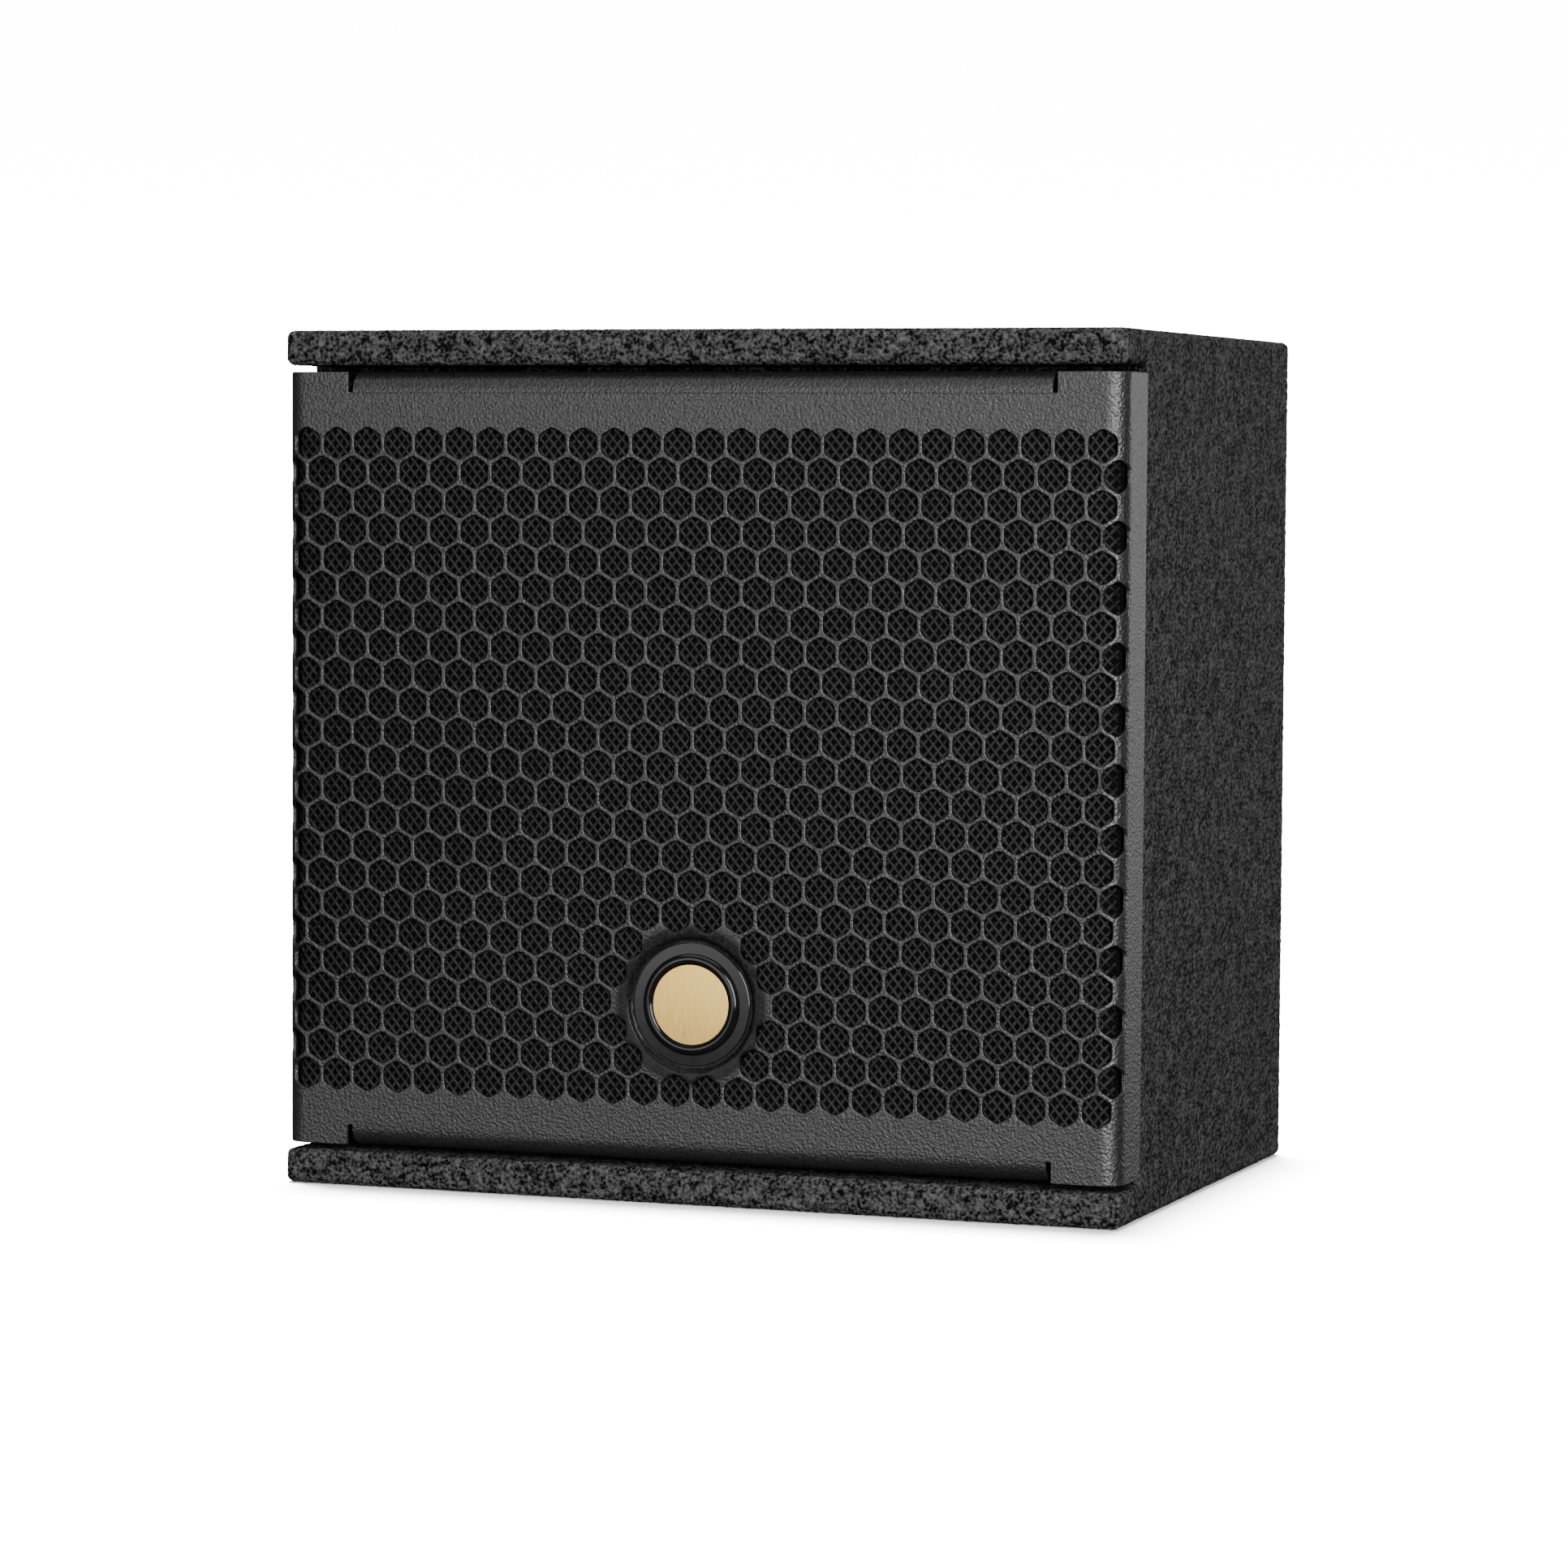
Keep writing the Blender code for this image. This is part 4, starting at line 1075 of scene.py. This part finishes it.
def make_connector_plate():
    """The rear plate, its screws and its two round locking sockets."""
    low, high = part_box("connector_plate")
    middle = ((low[0] + high[0]) / 2, (low[2] + high[2]) / 2)
    corners = round_rectangle(high[0] - low[0], high[2] - low[2], 3 * MM)
    outline = [(x + middle[0], z + middle[1]) for x, z in corners]
    sockets = {}
    for name in ("input_socket", "link_socket"):
        socket_low, socket_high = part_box(name)
        sockets[name] = ((socket_low[0] + socket_high[0]) / 2, middle[1])
    holes = [circle(spot, 12.2 * MM) for spot in sockets.values()]
    screws = {}
    for number in range(1, 5):
        screw_low, screw_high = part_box(f"plate_screw_{number}")
        spot = ((screw_low[0] + screw_high[0]) / 2, (screw_low[2] + screw_high[2]) / 2)
        screws[f"plate_screw_{number}"] = (spot, screw_low[1], screw_high[1])
        holes.append(circle(spot, 2.3 * MM, 24))
    piece = plate("connector_panel", outline, holes, high[1], high[1] - low[1], 0.35 * MM, 1)
    dress(piece, CABINET, "black_steel", "connector_plate")
    for name, (spot, tip, head) in screws.items():
        piece = hex_screw(f"{name}_head", spot, head, tip, 3.8 * MM, 2 * MM, 1.6 * MM, 1)
        dress(piece, CABINET, "black_steel", name)
    for name, spot in sockets.items():
        make_socket(name, spot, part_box(name))


def make_socket(name, spot, box):
    """A chassis socket: square flange, round mouth, keyed barrel, contact post and tabs."""
    low, high = box
    width, height = high[0] - low[0], high[2] - low[2]
    outline = [(x + spot[0], z + spot[1]) for x, z in round_rectangle(width, height, 2.5 * MM)]
    aside, above = width / 2 - 3.4 * MM, height / 2 - 3.4 * MM
    fixing = [(spot[0] + sign * aside, spot[1] + sign * above) for sign in (-1, 1)]
    holes = [circle(spot, 11.2 * MM, 72)] + [circle(place, 1.7 * MM, 24) for place in fixing]
    flange = plate("flange", outline, holes, high[1], 1.8 * MM, 0.3 * MM, 1)
    centre = (spot[0], high[1], spot[1])
    barrel = [(0, 8), (5.6, 8), (6.2, 8.6), (6.2, 18), (10.6, 18), (10.6, 0.7), (11.0, 0.3)]
    barrel += [(11.9, 0.3), (11.9, 26), (0, 26)]
    body = turned("barrel", barrel, centre, FACING_BACK, 72)
    parts = [flange, body]
    for place in fixing:
        rivet = [(0, 0.2), (1.0, 0.25), (1.7, 0.8), (1.7, 1.6), (0, 1.6)]
        parts.append(turned("rivet", rivet, (place[0], high[1], place[1]), FACING_BACK, 24))
    for quarter in range(4):
        angle = math.radians(45 + 90 * quarter)
        side = Vector((math.cos(angle), 0, math.sin(angle)))
        at = Vector(centre) + side * 10.4 * MM
        parts.append(tab("key", at, side, 1.4 * MM, 0.5 * MM, 1.2 * MM, 16 * MM))
    for sx in (-1, 1):
        for sz in (-1, 1):
            at = Vector(centre) + Vector((sx * 6 * MM, -25.8 * MM, sz * 6 * MM))
            parts.append(tab("blade", at, Vector((0, 0, 1)), 2.4 * MM, 0.4 * MM, 0, 8 * MM))
    dress(merged(f"{name}_body", parts), CABINET, "black_plastic", name)
    contacts = []
    for quarter in range(4):
        angle = math.radians(90 * quarter)
        side = Vector((math.cos(angle), 0, math.sin(angle)))
        at = Vector(centre) + side * 6.3 * MM
        contacts.append(tab("contact", at, side, 1.3 * MM, 0.25 * MM, 9.5 * MM, 16 * MM))
    dress(merged(f"{name}_contacts", contacts), CABINET, "plated_steel")


def tab(name, at, side, half_width, half_thick, start, end):
    """A small bar along Y whose flat face looks along side, between two depths behind at."""
    across = Vector((0, 1, 0)).cross(side)
    ends = ((-half_width, half_width), (-end, -start), (-half_thick, half_thick))
    axes = [np.array(pair) for pair in ends]
    points, faces = skin(axes, np.ones((1, 1, 1), bool))
    placed = [at + across * x + Vector((0, y, 0)) + side * z for x, y, z in points.tolist()]
    turned_in = across.cross(Vector((0, 1, 0))).dot(side) < 0
    return mesh_object(name, placed, faces[:, ::-1] if turned_in else faces)


# ---- Stage


def make_stage():
    """A pale round sweep of paper, and soft lights."""
    rise = [math.radians(3 * step) for step in range(18)]
    curve = [(SWEEP_FLAT + SWEEP_RISE * math.sin(a), -SWEEP_RISE * (1 - math.cos(a))) for a in rise]
    floor = turned("paper_sweep", [(0, 0)] + curve, (0, 0, 0), Matrix.Identity(4))
    floor.data.flip_normals()
    mat, surface = blank("paper")
    glow = {"Emission Color": (1, 1, 1, 1), "Emission Strength": PAPER_GLOW}
    principled(mat, surface, (0.85, 0.85, 0.85, 1), 0.9, Specular_IOR_Level=0.1, **glow)
    floor.data.materials.append(mat)
    floor.visible_diffuse = False
    floor.visible_glossy = False

    world = bpy.data.worlds.new("studio")
    world.use_nodes = True
    world.node_tree.nodes["Background"].inputs["Color"].default_value = (1, 1, 1, 1)
    world.node_tree.nodes["Background"].inputs["Strength"].default_value = WORLD_STRENGTH
    bpy.context.scene.world = world
    for name, place, target, size, power in LIGHTS:
        light = bpy.data.lights.new(name, "AREA")
        light.shape = "RECTANGLE"
        light.size, light.size_y = size
        light.energy = power
        aim(bpy.data.objects.new(name, light), place, target)
    only_paper = bpy.data.collections.new("only_paper")
    only_paper.objects.link(floor)
    for name, strength, width, place, for_paper in SUNS:
        light = bpy.data.lights.new(name, "SUN")
        light.energy = strength
        light.angle = math.radians(width)
        lamp = bpy.data.objects.new(name, light)
        if for_paper:
            lamp.light_linking.receiver_collection = only_paper
        aim(lamp, place, (0, 0, 0))


def aim(lamp, place, target):
    """Puts a light in the scene, facing its target."""
    bpy.context.scene.collection.objects.link(lamp)
    lamp.visible_camera = False
    lamp.location = place
    lamp.rotation_euler = (Vector(target) - Vector(place)).to_track_quat("-Z", "Y").to_euler()


def make_camera():
    """The camera of the main view."""
    camera = bpy.data.cameras.new("camera")
    camera.lens = LENS
    camera.sensor_width = 36
    camera.clip_end = 50
    made = bpy.data.objects.new("camera", camera)
    bpy.context.scene.collection.objects.link(made)
    made.location = CAMERA_PLACE
    made.rotation_euler = [math.radians(angle) for angle in CAMERA_TURN]
    bpy.context.scene.camera = made


noise.seed_set(LUMP_SEED)
make_camera()
make_stage()
make_overhanging_panel("top_panel", TOP_LOW, TOP_HIGH, False)
make_overhanging_panel("bottom_panel", BOTTOM_LOW, BOTTOM_HIGH, True)
make_side("right_panel", 1)
make_side("left_panel", -1)
make_back()
make_grille()
make_foam()
make_badge()
make_cone()
make_surround()
make_basket()
make_driver_front()
make_ports()
make_magnets()
make_connector_plate()
